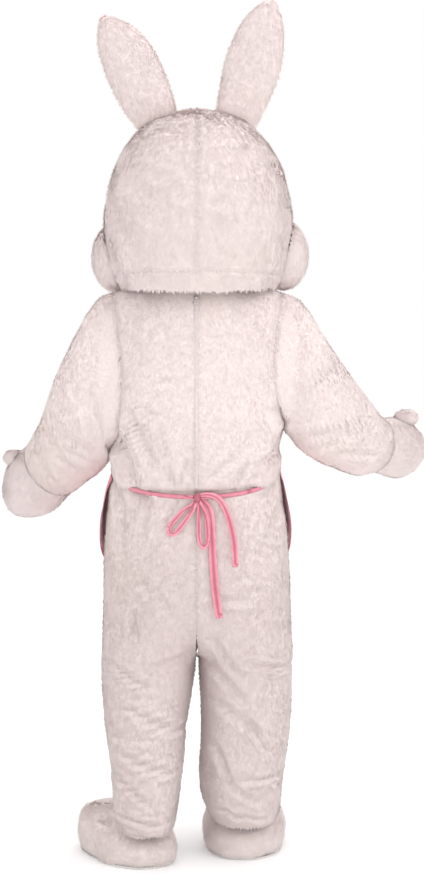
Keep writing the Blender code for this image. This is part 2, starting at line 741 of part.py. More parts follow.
def suit(parts, cutters, plush):
    """Bodice and trousers of four panels each, two-piece sleeves, and mittens that go on from them.

    Returns, for each quarter of the suit, its outer grid and normals from shoulder to ankle.
    """
    pattern = Pattern()
    grids = {}
    waist = len(YOKE_STEPS) + WAIST_ROW
    for side, side_name in ((-1, "left"), (1, "right")):
        for half, half_name in ((-1, "back"), (1, "front")):
            grid, axis = suit_panel(side, half)
            grids[side, half] = grid
            edge = None
            if half < 0:
                z = grid[:, 0, 2]
                closing = np.clip((z - ZIP_BOTTOM_Z) / ZIP_CLOSING, 0, 1)
                edge = SEAM / 2 + (ZIP_HALF_GAP - SEAM / 2) * closing
            pattern.add(
                f"bodice_{half_name}_{side_name}", grid[:waist + 1], axis[:waist + 1], PLUSH, plush,
                wide_edge=None if edge is None else edge[:waist + 1],
            )
            pattern.add(f"trousers_{half_name}_{side_name}", grid[waist:], axis[waist:], PLUSH, plush)
    forms = {}
    arms = (
        (-1, "left", SLEEVE_LEFT, MITTEN_LEFT), (1, "right", SLEEVE_RIGHT, MITTEN_RIGHT)
    )
    for side, name, sleeve_rows, mitten_rows in arms:
        depth = len(YOKE_STEPS)
        back = grids[side, -1][:depth + 1, -1]
        front = grids[side, 1][:depth + 1, -1]
        loop = np.array([*back, *front[-2:0:-1]])
        rings, centres = tube_rings(sleeve_rows + mitten_rows, len(loop), loop.mean(axis=0))
        grid = np.concatenate([loop[None], rings])
        axis = np.vstack([loop.mean(axis=0), centres])
        cuff = len(sleeve_rows)
        half = len(loop) // 2
        mitten, mitten_axis = grid[cuff:], axis[cuff:]
        tube, tube_axis = grid[:cuff + 1], axis[:cuff + 1]
        back, front = halves(tube, half)
        back_columns = list(range(half + 1))
        front_columns = [*range(half, len(loop)), 0]
        pattern.add(f"sleeve_{name}_back", back, tube_axis, PLUSH, plush, ring=(tube, back_columns))
        pattern.add(f"sleeve_{name}_front", front, tube_axis, PLUSH, plush, ring=(tube, front_columns))
        back, palm = halves(mitten, half)
        pattern.add(f"mitten_{name}_back", back, mitten_axis, PLUSH, plush)
        pattern.add(f"mitten_{name}_palm", palm, mitten_axis, PLUSH, plush)
        normals = grid_normals(mitten, mitten_axis, True)[:-1]
        normals /= np.linalg.norm(normals, axis=2, keepdims=True)
        forms[name] = cutter_from(f"mitten_form_{name}", mitten[:-1], normals, SEAM, cutters)
    for spec, name in (
        (Puff("mitten_left_thumb", (-0.468, 0.250, -0.386), (0.030, 0.024, 0.022), plush), "left"),
        (Puff("mitten_right_thumb", (0.530, 0.262, -0.284), (0.034, 0.025, 0.022), plush), "right"),
    ):
        cut(puff(spec, parts), forms[name])
    made = pattern.sew(parts)
    quarters = {}
    for side_name in ("left", "right"):
        for half_name in ("back", "front"):
            bodice = made[f"bodice_{half_name}_{side_name}"]
            trousers = made[f"trousers_{half_name}_{side_name}"]
            quarters[f"{half_name}_{side_name}"] = tuple(
                np.concatenate([bodice[k][:-1], trousers[k]]) for k in range(2)
            )
    return quarters


def head(parts, cutters, plush, pink_plush, eye_black, nose_pink):
    """The head's gores and hem band, and what is sewn on it."""
    grid = head_grid(HEAD)
    hem = head_grid(HEAD_HEM, HEM_SIDE_RISE)
    axis = np.array([(HEAD_X, 0.0, min(row.z, 0.36)) for row in HEAD])
    hem_axis = np.array([(HEAD_X, 0.0, row.z) for row in HEAD_HEM])
    pattern = Pattern()
    quarter = HEAD_COLUMNS
    whole = np.concatenate([grid, grid[:, :1]], axis=1)
    pattern.add("head_back_right", whole[:, :quarter + 1], axis, HEAD_WALL, plush)
    pattern.add("head_front", whole[:, quarter:3 * quarter + 1], axis, HEAD_WALL, plush)
    pattern.add("head_back_left", whole[:, 3 * quarter:], axis, HEAD_WALL, plush)
    pattern.add("head_hem", hem, hem_axis, HEAD_WALL, plush, wrap=True)
    pattern.sew(parts)

    outside = np.concatenate([grid[1:], hem[1:]])
    outside_axis = np.concatenate([axis[1:], hem_axis[1:]])
    normals = grid_normals(outside, outside_axis, True)
    normals /= np.linalg.norm(normals, axis=2, keepdims=True)
    crown = np.array([[(HEAD_X, 0.0, HEAD[0].z)] * len(grid[0])])
    form = cutter_from(
        "head_form",
        np.concatenate([crown, outside]),
        np.concatenate([np.array([[(0.0, 0.0, 1.0)] * len(grid[0])]), normals]),
        SEAM,
        cutters,
    )
    for name, rows in (("left", EAR_LEFT), ("right", EAR_RIGHT)):
        back = loft(f"ear_{name}_back", ear_half(rows, True), plush, parts)
        front = loft(f"ear_{name}_front", ear_half(rows, False), pink_plush, parts)
        cut(back, form)
        cut(front, form)
    puffs = (
        Puff("cheek_left", (-0.198, 0.045, 0.106), (0.062, 0.085, 0.084), plush),
        Puff("cheek_right", (0.210, 0.045, 0.112), (0.064, 0.085, 0.086), plush),
        Puff("muzzle", (0.002, 0.222, 0.105), (0.085, 0.055, 0.058), plush),
        Puff("eye_left", (-0.078, 0.212, 0.225), (0.027, 0.016, 0.038), eye_black),
        Puff("eye_right", (0.082, 0.212, 0.225), (0.027, 0.016, 0.038), eye_black),
    )
    made = {spec.name: puff(spec, parts) for spec in puffs}
    for piece in made.values():
        cut(piece, form)
    nose = puff(Puff("nose", (0.002, 0.278, 0.132), (0.022, 0.016, 0.016), nose_pink), parts)
    muzzle_form = puff(
        Puff("muzzle_form", (0.002, 0.222, 0.105), (0.0854, 0.0554, 0.0584), None), cutters
    )
    cut(nose, hidden(muzzle_form))


def boots(parts, plush, sole_rubber):
    """Boot covers: an upper that is open at the shaft, and a sole."""
    for name, boot in BOOTS.items():
        grid, axis = boot_rings(boot)
        pattern = Pattern()
        pattern.add(f"boot_{name}_upper", grid, axis, BOOT_WALL, plush, wrap=True)
        pattern.sew(parts)
        low = grid[-1].copy()
        low[:, 2] = FLOOR_Z
        high = grid[-1].copy()
        high[:, 2] = FLOOR_Z + SOLE
        loft(f"boot_{name}_sole", [low, high], sole_rubber, parts)


class Waist:
    """The suit's torso rows as whole rings, to lay the apron and its ties on."""

    def __init__(self, quarters):
        rows = slice(len(YOKE_STEPS), len(YOKE_STEPS) + len(TORSO))
        order = (("back_right", 1), ("front_right", -1), ("front_left", 1), ("back_left", -1))
        self.points = np.concatenate([quarters[name][0][rows][:, ::step] for name, step in order], axis=1)
        self.normals = np.concatenate([quarters[name][1][rows][:, ::step] for name, step in order], axis=1)
        steps = np.arange(COLUMNS + 1) / COLUMNS
        self.turns = np.concatenate([quarter + steps for quarter in range(4)])
        self.turns += np.arange(len(self.turns)) * 1e-9

    def column(self, turn):
        """The points and normals of all rows at a turn."""
        def read(values):
            return np.array([[np.interp(turn, self.turns, row[:, k]) for k in range(3)] for row in values])
        return read(self.points), read(self.normals)

    def band(self, turn):
        """The middle of the drawn-in waist at a turn."""
        points, normals = self.column(turn)
        pair = slice(WAIST_ROW, WAIST_ROW + 2)
        return points[pair].mean(axis=0), unit(normals[pair].mean(axis=0))

    def at(self, turn, z):
        """The point and normal at a turn and a height."""
        points, normals = self.column(turn)
        heights = -points[:, 2]
        point = np.array([np.interp(-z, heights, points[:, k]) for k in range(3)])
        return point, unit(np.array([np.interp(-z, heights, normals[:, k]) for k in range(3)]))


def apron(parts, cutters, pink, quarters):
    """The apron's panel, waistband and binding in front, and its ties and bow at the back."""
    waist = Waist(quarters)
    lift = LIFT + TIE_THICK / 2
    knot_form = puff(Puff("knot_form", KNOT, [r + SEAM for r in KNOT_RADII], None), cutters)
    hidden(knot_form)
    puff(Puff("bow_knot", KNOT, KNOT_RADII, pink), parts)
    turns = [k / COLUMNS for k in range(1, 4 * COLUMNS)]
    laid = [waist.band(turn) for turn in turns]
    route = [point + normal * lift for point, normal in laid]
    normals = [normal for _, normal in laid]
    knot = np.array(KNOT)
    inside, beside = np.array([0.004, 0.003, 0.0]), np.array([0.015, 0.0055, 0.0])
    mirror = np.array([-1.0, 1.0, 1.0])
    route = [knot + inside, knot + beside, *route, knot + beside * mirror, knot + inside * mirror]
    normals = [normals[0]] * 2 + normals + [normals[-1]] * 2
    ends = [TIE_HALF * 0.6, TIE_HALF * 0.75]
    widths = [*ends, *[TIE_HALF] * len(turns), *reversed(ends)]
    rings = band_rings(route, normals, widths, TIE_THICK)
    sides = [2 + turns.index(1.0), 2 + turns.index(3.0)]
    pieces = (
        ("apron_tie_right", 0, sides[0]),
        ("apron_waistband", *sides),
        ("apron_tie_left", sides[1], len(rings) - 1),
    )
    for name, first, last in pieces:
        piece = rings[first:last + 1].copy()
        piece[0] += unit(rings[first + 1].mean(axis=0) - rings[first].mean(axis=0)) * SEAM / 2
        piece[-1] -= unit(rings[last].mean(axis=0) - rings[last - 1].mean(axis=0)) * SEAM / 2
        made = loft(name, piece, pink, parts)
        if "tie" in name:
            cut(made, knot_form)
    bow(parts, pink, knot_form)
    apron_panel(parts, pink, waist)


def back_depth(z):
    return float(np.interp(-z, [-row.z for row in TORSO], [row.back for row in TORSO]))


def bow(parts, pink, knot_form):
    """The bow's loops and tails: flat bands gathered at the knot."""
    for strand in BOW:
        flat = smooth_route([(x, 0.0, z) for x, z in strand.route], 2)
        count = len(flat)
        shares = np.linspace(0, 1, count)
        layers = strand.first_layer + (strand.last_layer - strand.first_layer) * shares
        route = []
        for point, layer in zip(flat, layers):
            z = min(point[2], TORSO[WAIST_ROW].z)
            out = back_depth(z) + LIFT + (layer + 0.5) * RIBBON_PITCH
            route.append((point[0], -out, point[2]))
        reach = np.minimum(shares, 1 - shares if "loop" in strand.name else shares) * count / 5
        widths = GATHERED_HALF + (strand.half - GATHERED_HALF) * np.clip(reach, 0, 1)
        normals = [np.array([0.0, -1.0, 0.0])] * count
        rings = band_rings(route, normals, widths, RIBBON_THICK)
        cut(loft(strand.name, rings, pink, parts), knot_form)


def apron_panel(parts, pink, waist):
    """The apron's rounded panel on the front of the hips and the binding round its edge."""
    turns = [APRON_START_TURN, *(k / COLUMNS for k in range(COLUMNS, 3 * COLUMNS + 1)), APRON_END_TURN]
    span = APRON_END_TURN - APRON_START_TURN
    grid = []
    for row in range(APRON_ROWS + 1):
        share = row / APRON_ROWS
        line = []
        for turn in turns:
            top = waist.band(turn)[0][2] - TIE_HALF - 2 * SEAM
            round_share = math.sin(math.pi * (turn - APRON_START_TURN) / span) ** 0.6
            low = APRON_SIDE_Z + (APRON_MIDDLE_Z - APRON_SIDE_Z) * round_share
            point, normal = waist.at(turn, top + (low - top) * share)
            line.append(point + normal * (APRON_CLEAR + APRON_CLOTH + APRON_FLARE * share))
        grid.append(line)
    grid = np.array(grid)
    axis = np.array([(0.0, 0.0, line[0][2]) for line in grid])
    pattern = Pattern()
    pattern.add("apron_panel", grid, axis, APRON_CLOTH, pink)
    outer, normals, _ = pattern.sew(parts)["apron_panel"]

    edge = [*outer[:, 0], *outer[-1, 1:-1], *outer[::-1, -1]]
    edge_normals = [*normals[:, 0], *normals[-1, 1:-1], *normals[::-1, -1]]
    along = np.gradient(np.array(edge), axis=0)
    route = []
    for point, normal, forward in zip(edge, edge_normals, along):
        away = unit(np.cross(normal, forward))
        inside = outer.reshape(-1, 3).mean(axis=0)
        away = away if away @ (point - inside) > 0 else -away
        route.append(point + away * (BINDING_HALF + SEAM) - normal * APRON_CLOTH / 2)
    for end in (0, -1):
        route[end] = route[end] - np.array([0.0, 0.0, 0.004])
    widths = [BINDING_HALF] * len(route)
    loft("apron_binding", band_rings(route, edge_normals, widths, BINDING_THICK, 6), pink, parts)


def box(name, low, high, finish, where, spot=None):
    """A box from corner to corner in the slider's frame."""
    work = bmesh.new()
    bmesh.ops.create_cube(work, size=1.0)
    size = [b - a for a, b in zip(low, high)]
    middle = [(a + b) / 2 for a, b in zip(low, high)]
    bmesh.ops.scale(work, vec=size, verts=work.verts)
    bmesh.ops.translate(work, vec=middle, verts=work.verts)
    mesh = bpy.data.meshes.new(name)
    work.to_mesh(mesh)
    work.free()
    if finish:
        mesh.materials.append(finish)
    made = bpy.data.objects.new(name, mesh)
    where.objects.link(made)
    if spot:
        made.parent = spot
    return made


def rod(name, radius, half, place, axis, finish, where, spot, sides=16):
    """A cylinder centred on place, along X or Y of the slider's frame."""
    work = bmesh.new()
    bmesh.ops.create_cone(
        work, cap_ends=True, segments=sides, radius1=radius, radius2=radius, depth=2 * half
    )
    turn = {"X": (0.0, math.pi / 2, 0.0), "Y": (math.pi / 2, 0.0, 0.0)}[axis]
    mesh = bpy.data.meshes.new(name)
    work.to_mesh(mesh)
    work.free()
    if finish:
        mesh.materials.append(finish)
    made = bpy.data.objects.new(name, mesh)
    made.rotation_euler = turn
    made.location = place
    made.parent = spot
    where.objects.link(made)
    return made


def zip_pieces(parts, cutters, zip_tape, zip_metal, quarters):
    """The chain between the back panels, and the slider with its pull tab at the chain's top."""
    right, left = quarters["back_right"], quarters["back_left"]
    middle = (right[0][:, 0] + left[0][:, 0]) / 2
    normals = (right[1][:, 0] + left[1][:, 0]) / 2
    rings = []
    for point, normal in zip(middle, normals):
        if point[2] < ZIP_BOTTOM_Z + ZIP_CLOSING - 0.001:
            break
        normal = unit(normal * np.array([0.0, 1.0, 1.0]))
        sunk = (ZIP_SUNK, ZIP_SUNK + ZIP_THICK)
        rings.append([
            np.array([x, point[1], point[2]]) - normal * depth
            for x, depth in zip((-ZIP_HALF, ZIP_HALF, ZIP_HALF, -ZIP_HALF), np.repeat(sunk, 2))
        ])
    loft("zip_chain", rings, zip_tape, parts)

    heights = -middle[:, 2]
    upper, lower = (
        np.array([np.interp(-z, heights, middle[:, k]) for k in range(3)])
        for z in (SLIDER_Z + 0.002, SLIDER_Z - 0.002)
    )
    tilt = math.atan2(lower[1] - upper[1], upper[2] - lower[2])
    base = (upper + lower) / 2
    spot = bpy.data.objects.new("slider_pin", None)
    spot.rotation_euler = (tilt, 0.0, 0.0)
    spot.location = (0.0, base[1] - PIN_OUT * math.cos(tilt), base[2] - PIN_OUT * math.sin(tilt))
    parts.objects.link(spot)

    slider = box("zip_slider", (-0.0031, PIN_OUT - 0.0012, -0.006), (0.0031, PIN_OUT + 0.0012, 0.006),
                 zip_metal, parts, spot)
    for side in (-1, 1):
        low, high = sorted((side * 0.0024, side * 0.0040))
        lug = box(f"lug_{side}", (low, -0.0016, -0.0018), (high, PIN_OUT - 0.0008, 0.0018), None, cutters, spot)
        add_to(slider, hidden(lug))
    pin = rod("pin", PIN_RADIUS, 0.0032, (0.0, 0.0, 0.0), "X", None, cutters, spot)
    add_to(slider, hidden(pin))

    tab = box("zip_pull_tab", (-TAB_HALF, -TAB_THICK / 2, -TAB_LENGTH), (TAB_HALF, TAB_THICK / 2, -0.0065),
              zip_metal, parts, spot)
    neck = box("tab_neck", (-BARREL_HALF, -TAB_THICK / 2 + 0.0001, -0.0070),
               (BARREL_HALF, TAB_THICK / 2 - 0.0001, -0.0016), None, cutters, spot)
    barrel = rod("barrel", BARREL_RADIUS, BARREL_HALF, (0.0, 0.0, 0.0), "X", None, cutters, spot)
    bore = rod("barrel_bore", BARREL_HOLE, 0.0030, (0.0, 0.0, 0.0), "X", None, cutters, spot)
    eye = rod("tab_hole", 0.0017, 0.003, (0.0, 0.0, -TAB_LENGTH + 0.0050), "Y", None, cutters, spot)
    for other in (neck, barrel):
        add_to(tab, hidden(other))
    for other in (bore, eye):
        cut(tab, hidden(other))


main()
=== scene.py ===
"""Rabbit mascot costume: its plush, pile, seams, satin ties and zip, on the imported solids."""

import math
from collections import namedtuple

import bmesh
import bpy
import numpy as np
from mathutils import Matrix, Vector
from mathutils.bvhtree import BVHTree
from mathutils.kdtree import KDTree


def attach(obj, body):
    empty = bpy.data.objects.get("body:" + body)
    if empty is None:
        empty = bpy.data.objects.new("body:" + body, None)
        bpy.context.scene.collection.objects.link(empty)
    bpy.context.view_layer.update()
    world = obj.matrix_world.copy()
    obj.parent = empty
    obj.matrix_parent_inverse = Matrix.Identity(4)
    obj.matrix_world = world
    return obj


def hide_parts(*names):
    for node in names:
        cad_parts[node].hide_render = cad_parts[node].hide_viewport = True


FLOOR_Z = -1.325

# Camera
EYE = (0.0357, -4.285, -0.1938)
TILT = math.radians(1.8765)
VIEW_ANGLE = math.radians(27.702)

WHITE = (1.0, 1.0, 1.0)
BLACK = (0.0, 0.0, 0.0)

# Colours of the plush, the tints that its patches are multiplied by, and the painted shade in the satin's
# folds
PLUSH_LIGHT = (0.92, 0.815, 0.805)
PLUSH_DEEP = (0.88, 0.77, 0.755)
WARM = (0.985, 0.98, 0.94)
HEAD_WARM = (0.985, 0.98, 0.95)
PINK_WARM = (0.98, 0.95, 0.95)
PAINTED_FOLD_SHADE = (0.54, 0.36, 0.41)
THREAD = (0.62, 0.22, 0.31)

# Plush: how deep the backing lies under the pile's tips, then each blade's length, width and lean
# from upright in degrees, and how many blades there are on a square centimetre
Pile = namedtuple("Pile", "sunk length width lean per_cm2")
SUIT_PILE = Pile(0.0021, 0.0080, 0.0027, 74, 12.8)
HEAD_PILE = Pile(0.0026, 0.0098, 0.0027, 74, 18.8)
EAR_PILE = Pile(0.0023, 0.0088, 0.0026, 71, 19.0)
BOOT_PILE = Pile(0.0029, 0.0100, 0.0028, 70, 16.5)
MITTEN_PILE = Pile(0.0023, 0.0090, 0.0026, 71, 19.0)
WALLS = {SUIT_PILE: 0.006, HEAD_PILE: 0.014, BOOT_PILE: 0.008, MITTEN_PILE: 0.006}
PILES = {
    SUIT_PILE: "suit pile",
    HEAD_PILE: "head pile",
    EAR_PILE: "head pile",
    BOOT_PILE: "boot pile",
    MITTEN_PILE: "boot pile",
}
MOST_BLADES = 185000
PANEL_SEED = 100
STUFFED_SEED = 900
SEED_STEP = 20

# How blades vary: lean in degrees, length and width as shares, and how far they stray from straight down
LEAN_SPREAD = 8
LEAN_RANGE = (30, 84)
LENGTH_RANGE = (0.65, 1.2)
WIDTH_RANGE = (0.7, 1.2)
DOWN_SPREAD = 0.20
ROOT_DEPTH = 0.0006

# Near a seam the pile is thicker and leans across it
SEAM_REACH = 0.009
SEAM_THICKER = 2.4
SEAM_LEAD = 1.6

# Pile under satin: how far out the satin is looked for, and the least height that is left
COVER_REACH = 0.012
LEAST_ROOM = 0.15

# How much the suit's plush is darkened with painted shade towards the floor, from the floor at 0 to the base
# of the neck at 1
PAINTED_FLOOR_SHADE = (
    (0.10, (0.83, 0.82, 0.815)),
    (0.46, (0.84, 0.82, 0.81)),
    (0.66, (0.94, 0.93, 0.92)),
    (0.80, WHITE),
)

# flat is the piece's cut, width by length, and area what the cut covers in square metres
Plush = namedtuple("Plush", "node pile flat area held rests_on")
PANELS = (
    Plush("bodice_back_left", SUIT_PILE, (0.31, 0.52), 0.130, "hung", "bodice_front_left"),
    Plush("bodice_back_right", SUIT_PILE, (0.31, 0.52), 0.130, "hung", "bodice_front_right"),
    Plush("bodice_front_left", SUIT_PILE, (0.31, 0.52), 0.130, "hung", "bodice_back_left"),
    Plush("bodice_front_right", SUIT_PILE, (0.31, 0.52), 0.130, "hung", "bodice_back_right"),
    Plush("trousers_back_left", SUIT_PILE, (0.33, 0.88), 0.275, "hung", "bodice_back_left"),
    Plush("trousers_back_right", SUIT_PILE, (0.33, 0.88), 0.275, "hung", "bodice_back_right"),
    Plush("trousers_front_left", SUIT_PILE, (0.33, 0.87), 0.265, "hung", "bodice_front_left"),
    Plush("trousers_front_right", SUIT_PILE, (0.33, 0.87), 0.265, "hung", "bodice_front_right"),
    Plush("sleeve_left_back", SUIT_PILE, (0.41, 0.43), 0.145, "hung", "bodice_back_left"),
    Plush("sleeve_left_front", SUIT_PILE, (0.37, 0.39), 0.112, "hung", "bodice_front_left"),
    Plush("sleeve_right_back", SUIT_PILE, (0.41, 0.44), 0.150, "hung", "bodice_back_right"),
    Plush("sleeve_right_front", SUIT_PILE, (0.37, 0.39), 0.112, "hung", "bodice_front_right"),
    Plush("mitten_left_back", MITTEN_PILE, (0.20, 0.24), 0.039, "stretched", "sleeve_left_back"),
    Plush("mitten_left_palm", MITTEN_PILE, (0.20, 0.26), 0.044, "stretched", "sleeve_left_front"),
    Plush("mitten_right_back", MITTEN_PILE, (0.20, 0.22), 0.035, "stretched", "sleeve_right_back"),
    Plush("mitten_right_palm", MITTEN_PILE, (0.20, 0.24), 0.041, "stretched", "sleeve_right_front"),
    Plush("head_back_left", HEAD_PILE, (0.37, 0.47), 0.138, "stretched", "head_hem"),
    Plush("head_back_right", HEAD_PILE, (0.37, 0.47), 0.138, "stretched", "head_hem"),
    Plush("head_front", HEAD_PILE, (0.74, 0.47), 0.285, "stretched", "head_hem"),
    Plush("head_hem", HEAD_PILE, (1.25, 0.056), 0.066, "stretched", "head_front"),
    Plush("boot_left_upper", BOOT_PILE, (0.84, 0.20), 0.133, "stretched", "boot_left_sole"),
    Plush("boot_right_upper", BOOT_PILE, (0.84, 0.20), 0.133, "stretched", "boot_right_sole"),
)
STUFFED = (
    ("ear_left_back", EAR_PILE, "plush"),
    ("ear_right_back", EAR_PILE, "plush"),
    ("ear_left_front", EAR_PILE, "pink plush"),
    ("ear_right_front", EAR_PILE, "pink plush"),
    ("cheek_left", HEAD_PILE, "plush"),
    ("cheek_right", HEAD_PILE, "plush"),
    ("muzzle", HEAD_PILE, "plush"),
    ("mitten_left_thumb", MITTEN_PILE, "plush"),
    ("mitten_right_thumb", MITTEN_PILE, "plush"),
)

# Solids that keep their own form, and their finishes
PAINTED = (
    ("zip_chain", "tape"),
    ("zip_slider", "metal"),
    ("zip_pull_tab", "metal"),
    ("eye_left", "eye"),
    ("eye_right", "eye"),
    ("nose", "felt"),
    ("boot_left_sole", "sole"),
    ("boot_right_sole", "sole"),
)

# Creases of the cloth between the large folds that the solids hold. part says which side or limb
# they lie on, x and z where the middle is, slant is in degrees from level; troughs are positive
Crease = namedtuple("Crease", "part x z length width slant depth")
CREASES = (
    Crease("back", -0.105, -0.190, 0.170, 0.018, 1, 0.0016),
    Crease("back", 0.100, -0.200, 0.150, 0.024, -8, 0.0010),
    Crease("back", -0.120, -0.340, 0.190, 0.026, -50, 0.0070),
    Crease("back", -0.070, -0.390, 0.120, 0.022, -58, 0.0050),
    Crease("back", -0.155, -0.400, 0.170, 0.030, -57, 0.0125),
    Crease("back", -0.240, -0.310, 0.190, 0.032, -70, 0.0110),
    Crease("back", -0.265, -0.300, 0.120, 0.022, -74, 0.0045),
    Crease("back", 0.225, -0.300, 0.150, 0.026, 62, 0.0070),
    Crease("back", 0.170, -0.380, 0.120, 0.024, 58, 0.0060),
    Crease("back", 0.055, -0.395, 0.110, 0.022, 52, 0.0050),
    Crease("back", 0.105, -0.410, 0.085, 0.018, 76, 0.0060),
    Crease("back", 0.150, -0.380, 0.110, 0.020, 44, 0.0050),
    Crease("back", 0.020, -0.400, 0.080, 0.018, 80, 0.0035),
    Crease("back", -0.030, -0.405, 0.075, 0.016, -78, 0.0040),
    Crease("back", -0.180, -0.520, 0.200, 0.022, -78, 0.0060),
    Crease("back", -0.120, -0.505, 0.110, 0.018, -84, 0.0045),
    Crease("back", -0.060, -0.500, 0.080, 0.016, 86, 0.0040),
    Crease("back", 0.045, -0.500, 0.080, 0.016, 84, 0.0035),
    Crease("back", 0.120, -0.520, 0.120, 0.020, 80, 0.0045),
    Crease("back", 0.175, -0.540, 0.150, 0.022, 76, 0.0050),
    Crease("back", -0.150, -0.755, 0.060, 0.020, -60, 0.0070),
    Crease("back", -0.100, -0.690, 0.130, 0.028, -30, 0.0040),
    Crease("back", 0.085, -0.700, 0.130, 0.028, 28, 0.0040),
    Crease("back", 0.060, -0.830, 0.110, 0.020, -38, 0.0060),
    Crease("back", 0.165, -0.860, 0.120, 0.018, 4, 0.0060),
    Crease("back", 0.075, -0.905, 0.120, 0.022, -30, 0.0055),
    Crease("back", -0.060, -0.850, 0.110, 0.022, 34, 0.0050),
    Crease("back", -0.165, -0.880, 0.110, 0.020, -12, 0.0050),
    Crease("back", -0.100, -0.985, 0.150, 0.020, -14, 0.0060),
    Crease("back", -0.140, -1.020, 0.120, 0.018, 16, 0.0050),
    Crease("back", 0.100, -0.985, 0.150, 0.022, -24, 0.0055),
    Crease("back", 0.140, -1.020, 0.130, 0.020, -44, 0.0060),
    Crease("back", -0.120, -1.085, 0.130, 0.020, -6, 0.0060),
    Crease("back", 0.060, -1.095, 0.100, 0.018, -50, 0.0060),
    Crease("back", 0.145, -1.130, 0.100, 0.018, 14, 0.0050),
    Crease("back", -0.150, -1.145, 0.110, 0.018, -20, 0.0055),
    Crease("back", -0.130, -1.215, 0.120, 0.014, 6, 0.0055),
    Crease("back", -0.120, -1.245, 0.130, 0.013, -5, 0.0050),
    Crease("back", 0.080, -1.215, 0.060, 0.013, 4, 0.0060),
    Crease("back", 0.130, -1.225, 0.070, 0.013, 12, 0.0055),
    Crease("back", 0.100, -1.160, 0.110, 0.018, -16, 0.0050),
    Crease("front", -0.100, -0.200, 0.150, 0.024, 30, 0.0040),
    Crease("front", 0.100, -0.210, 0.150, 0.024, -32, 0.0040),
    Crease("front", -0.080, -0.390, 0.110, 0.020, 70, 0.0045),
    Crease("front", 0.075, -0.395, 0.110, 0.020, -72, 0.0045),
    Crease("front", -0.150, -0.385, 0.110, 0.020, 50, 0.0050),
    Crease("front", 0.150, -0.385, 0.110, 0.020, -48, 0.0050),
    Crease("front", 0.000, -0.400, 0.080, 0.018, 86, 0.0030),
    Crease("front", -0.060, -0.840, 0.120, 0.022, 36, 0.0060),
    Crease("front", 0.060, -0.845, 0.120, 0.022, -38, 0.0060),
    Crease("front", -0.130, -0.900, 0.130, 0.022, 12, 0.0050),
    Crease("front", 0.130, -0.905, 0.130, 0.022, -14, 0.0050),
    Crease("front", -0.115, -1.020, 0.150, 0.022, -10, 0.0055),
    Crease("front", 0.115, -1.015, 0.150, 0.022, 12, 0.0055),
    Crease("front", -0.120, -1.150, 0.140, 0.018, 10, 0.0055),
    Crease("front", 0.110, -1.145, 0.140, 0.018, -8, 0.0055),
    Crease("front", -0.125, -1.190, 0.130, 0.014, -6, 0.0045),
    Crease("front", 0.105, -1.195, 0.130, 0.014, 7, 0.0045),
    Crease("left arm", -0.240, -0.310, 0.190, 0.032, -70, 0.0110),
    Crease("left arm", -0.290, -0.200, 0.160, 0.022, -64, 0.0050),
    Crease("left arm", -0.300, -0.330, 0.150, 0.020, -20, 0.0060),
    Crease("left arm", -0.345, -0.350, 0.140, 0.020, -44, 0.0055),
    Crease("left arm", -0.270, -0.380, 0.110, 0.018, -12, 0.0055),
    Crease("left arm", -0.370, -0.410, 0.100, 0.016, -52, 0.0060),
    Crease("left arm", -0.390, -0.390, 0.100, 0.016, -60, 0.0055),
    Crease("left arm", -0.330, -0.270, 0.120, 0.022, 30, 0.0040),
    Crease("right arm", 0.300, -0.180, 0.160, 0.022, 56, 0.0050),
    Crease("right arm", 0.300, -0.320, 0.130, 0.020, 22, 0.0060),
    Crease("right arm", 0.350, -0.330, 0.140, 0.020, 36, 0.0055),
    Crease("right arm", 0.390, -0.370, 0.110, 0.018, 14, 0.0055),
    Crease("right arm", 0.410, -0.330, 0.100, 0.016, 76, 0.0060),
    Crease("right arm", 0.380, -0.290, 0.110, 0.018, 60, 0.0050),
    Crease("right arm", 0.345, -0.240, 0.120, 0.022, -34, 0.0040),
)

# Each arm's middle line: its shoulder, and the way from there to the wrist. Outside the armhole
# the arm's creases take over from the body's
ARMS = {
    "left arm": ((-0.22, 0.0, -0.19), (-0.17, 0.20, -0.22)),
    "right arm": ((0.24, 0.0, -0.17), (0.20, 0.20, -0.18)),
}
ARMHOLE_X = 0.225
ARMHOLE_BLEND = 0.06

# All creases' depth as a factor, and the height of the ridges beside a trough as a share of it
CREASE_STRENGTH = 1.35
RIDGE = 0.45

# Sewn seams: half width and depth, how much of it is left at the zip, and where they are
SEAM_WIDTH = 0.0042
SEAM_DEPTH = 0.0026
SEAM_AT_ZIP = 0.4
HEM_Z = 0.060
CROTCH_Z = -0.86

# The bodice's back sags over the tie: how far out and down, where, and over what height
SAG_OUT = 0.010
SAG_DOWN = 0.013
SAG_Z = -0.425
SAG_HEIGHT = 0.035

# A wall's far side is looked for from just outside its face, to nearly twice the wall's depth
PROBE_OUT = 0.002
PROBE_STEP = 0.00005
PROBE_WALLS = 1.9

# A solid's faces are joined and told apart by the angles between them, in degrees
JOIN_FACES = 48
JOIN_SHAPES = 120
SHARP_EDGE = 52

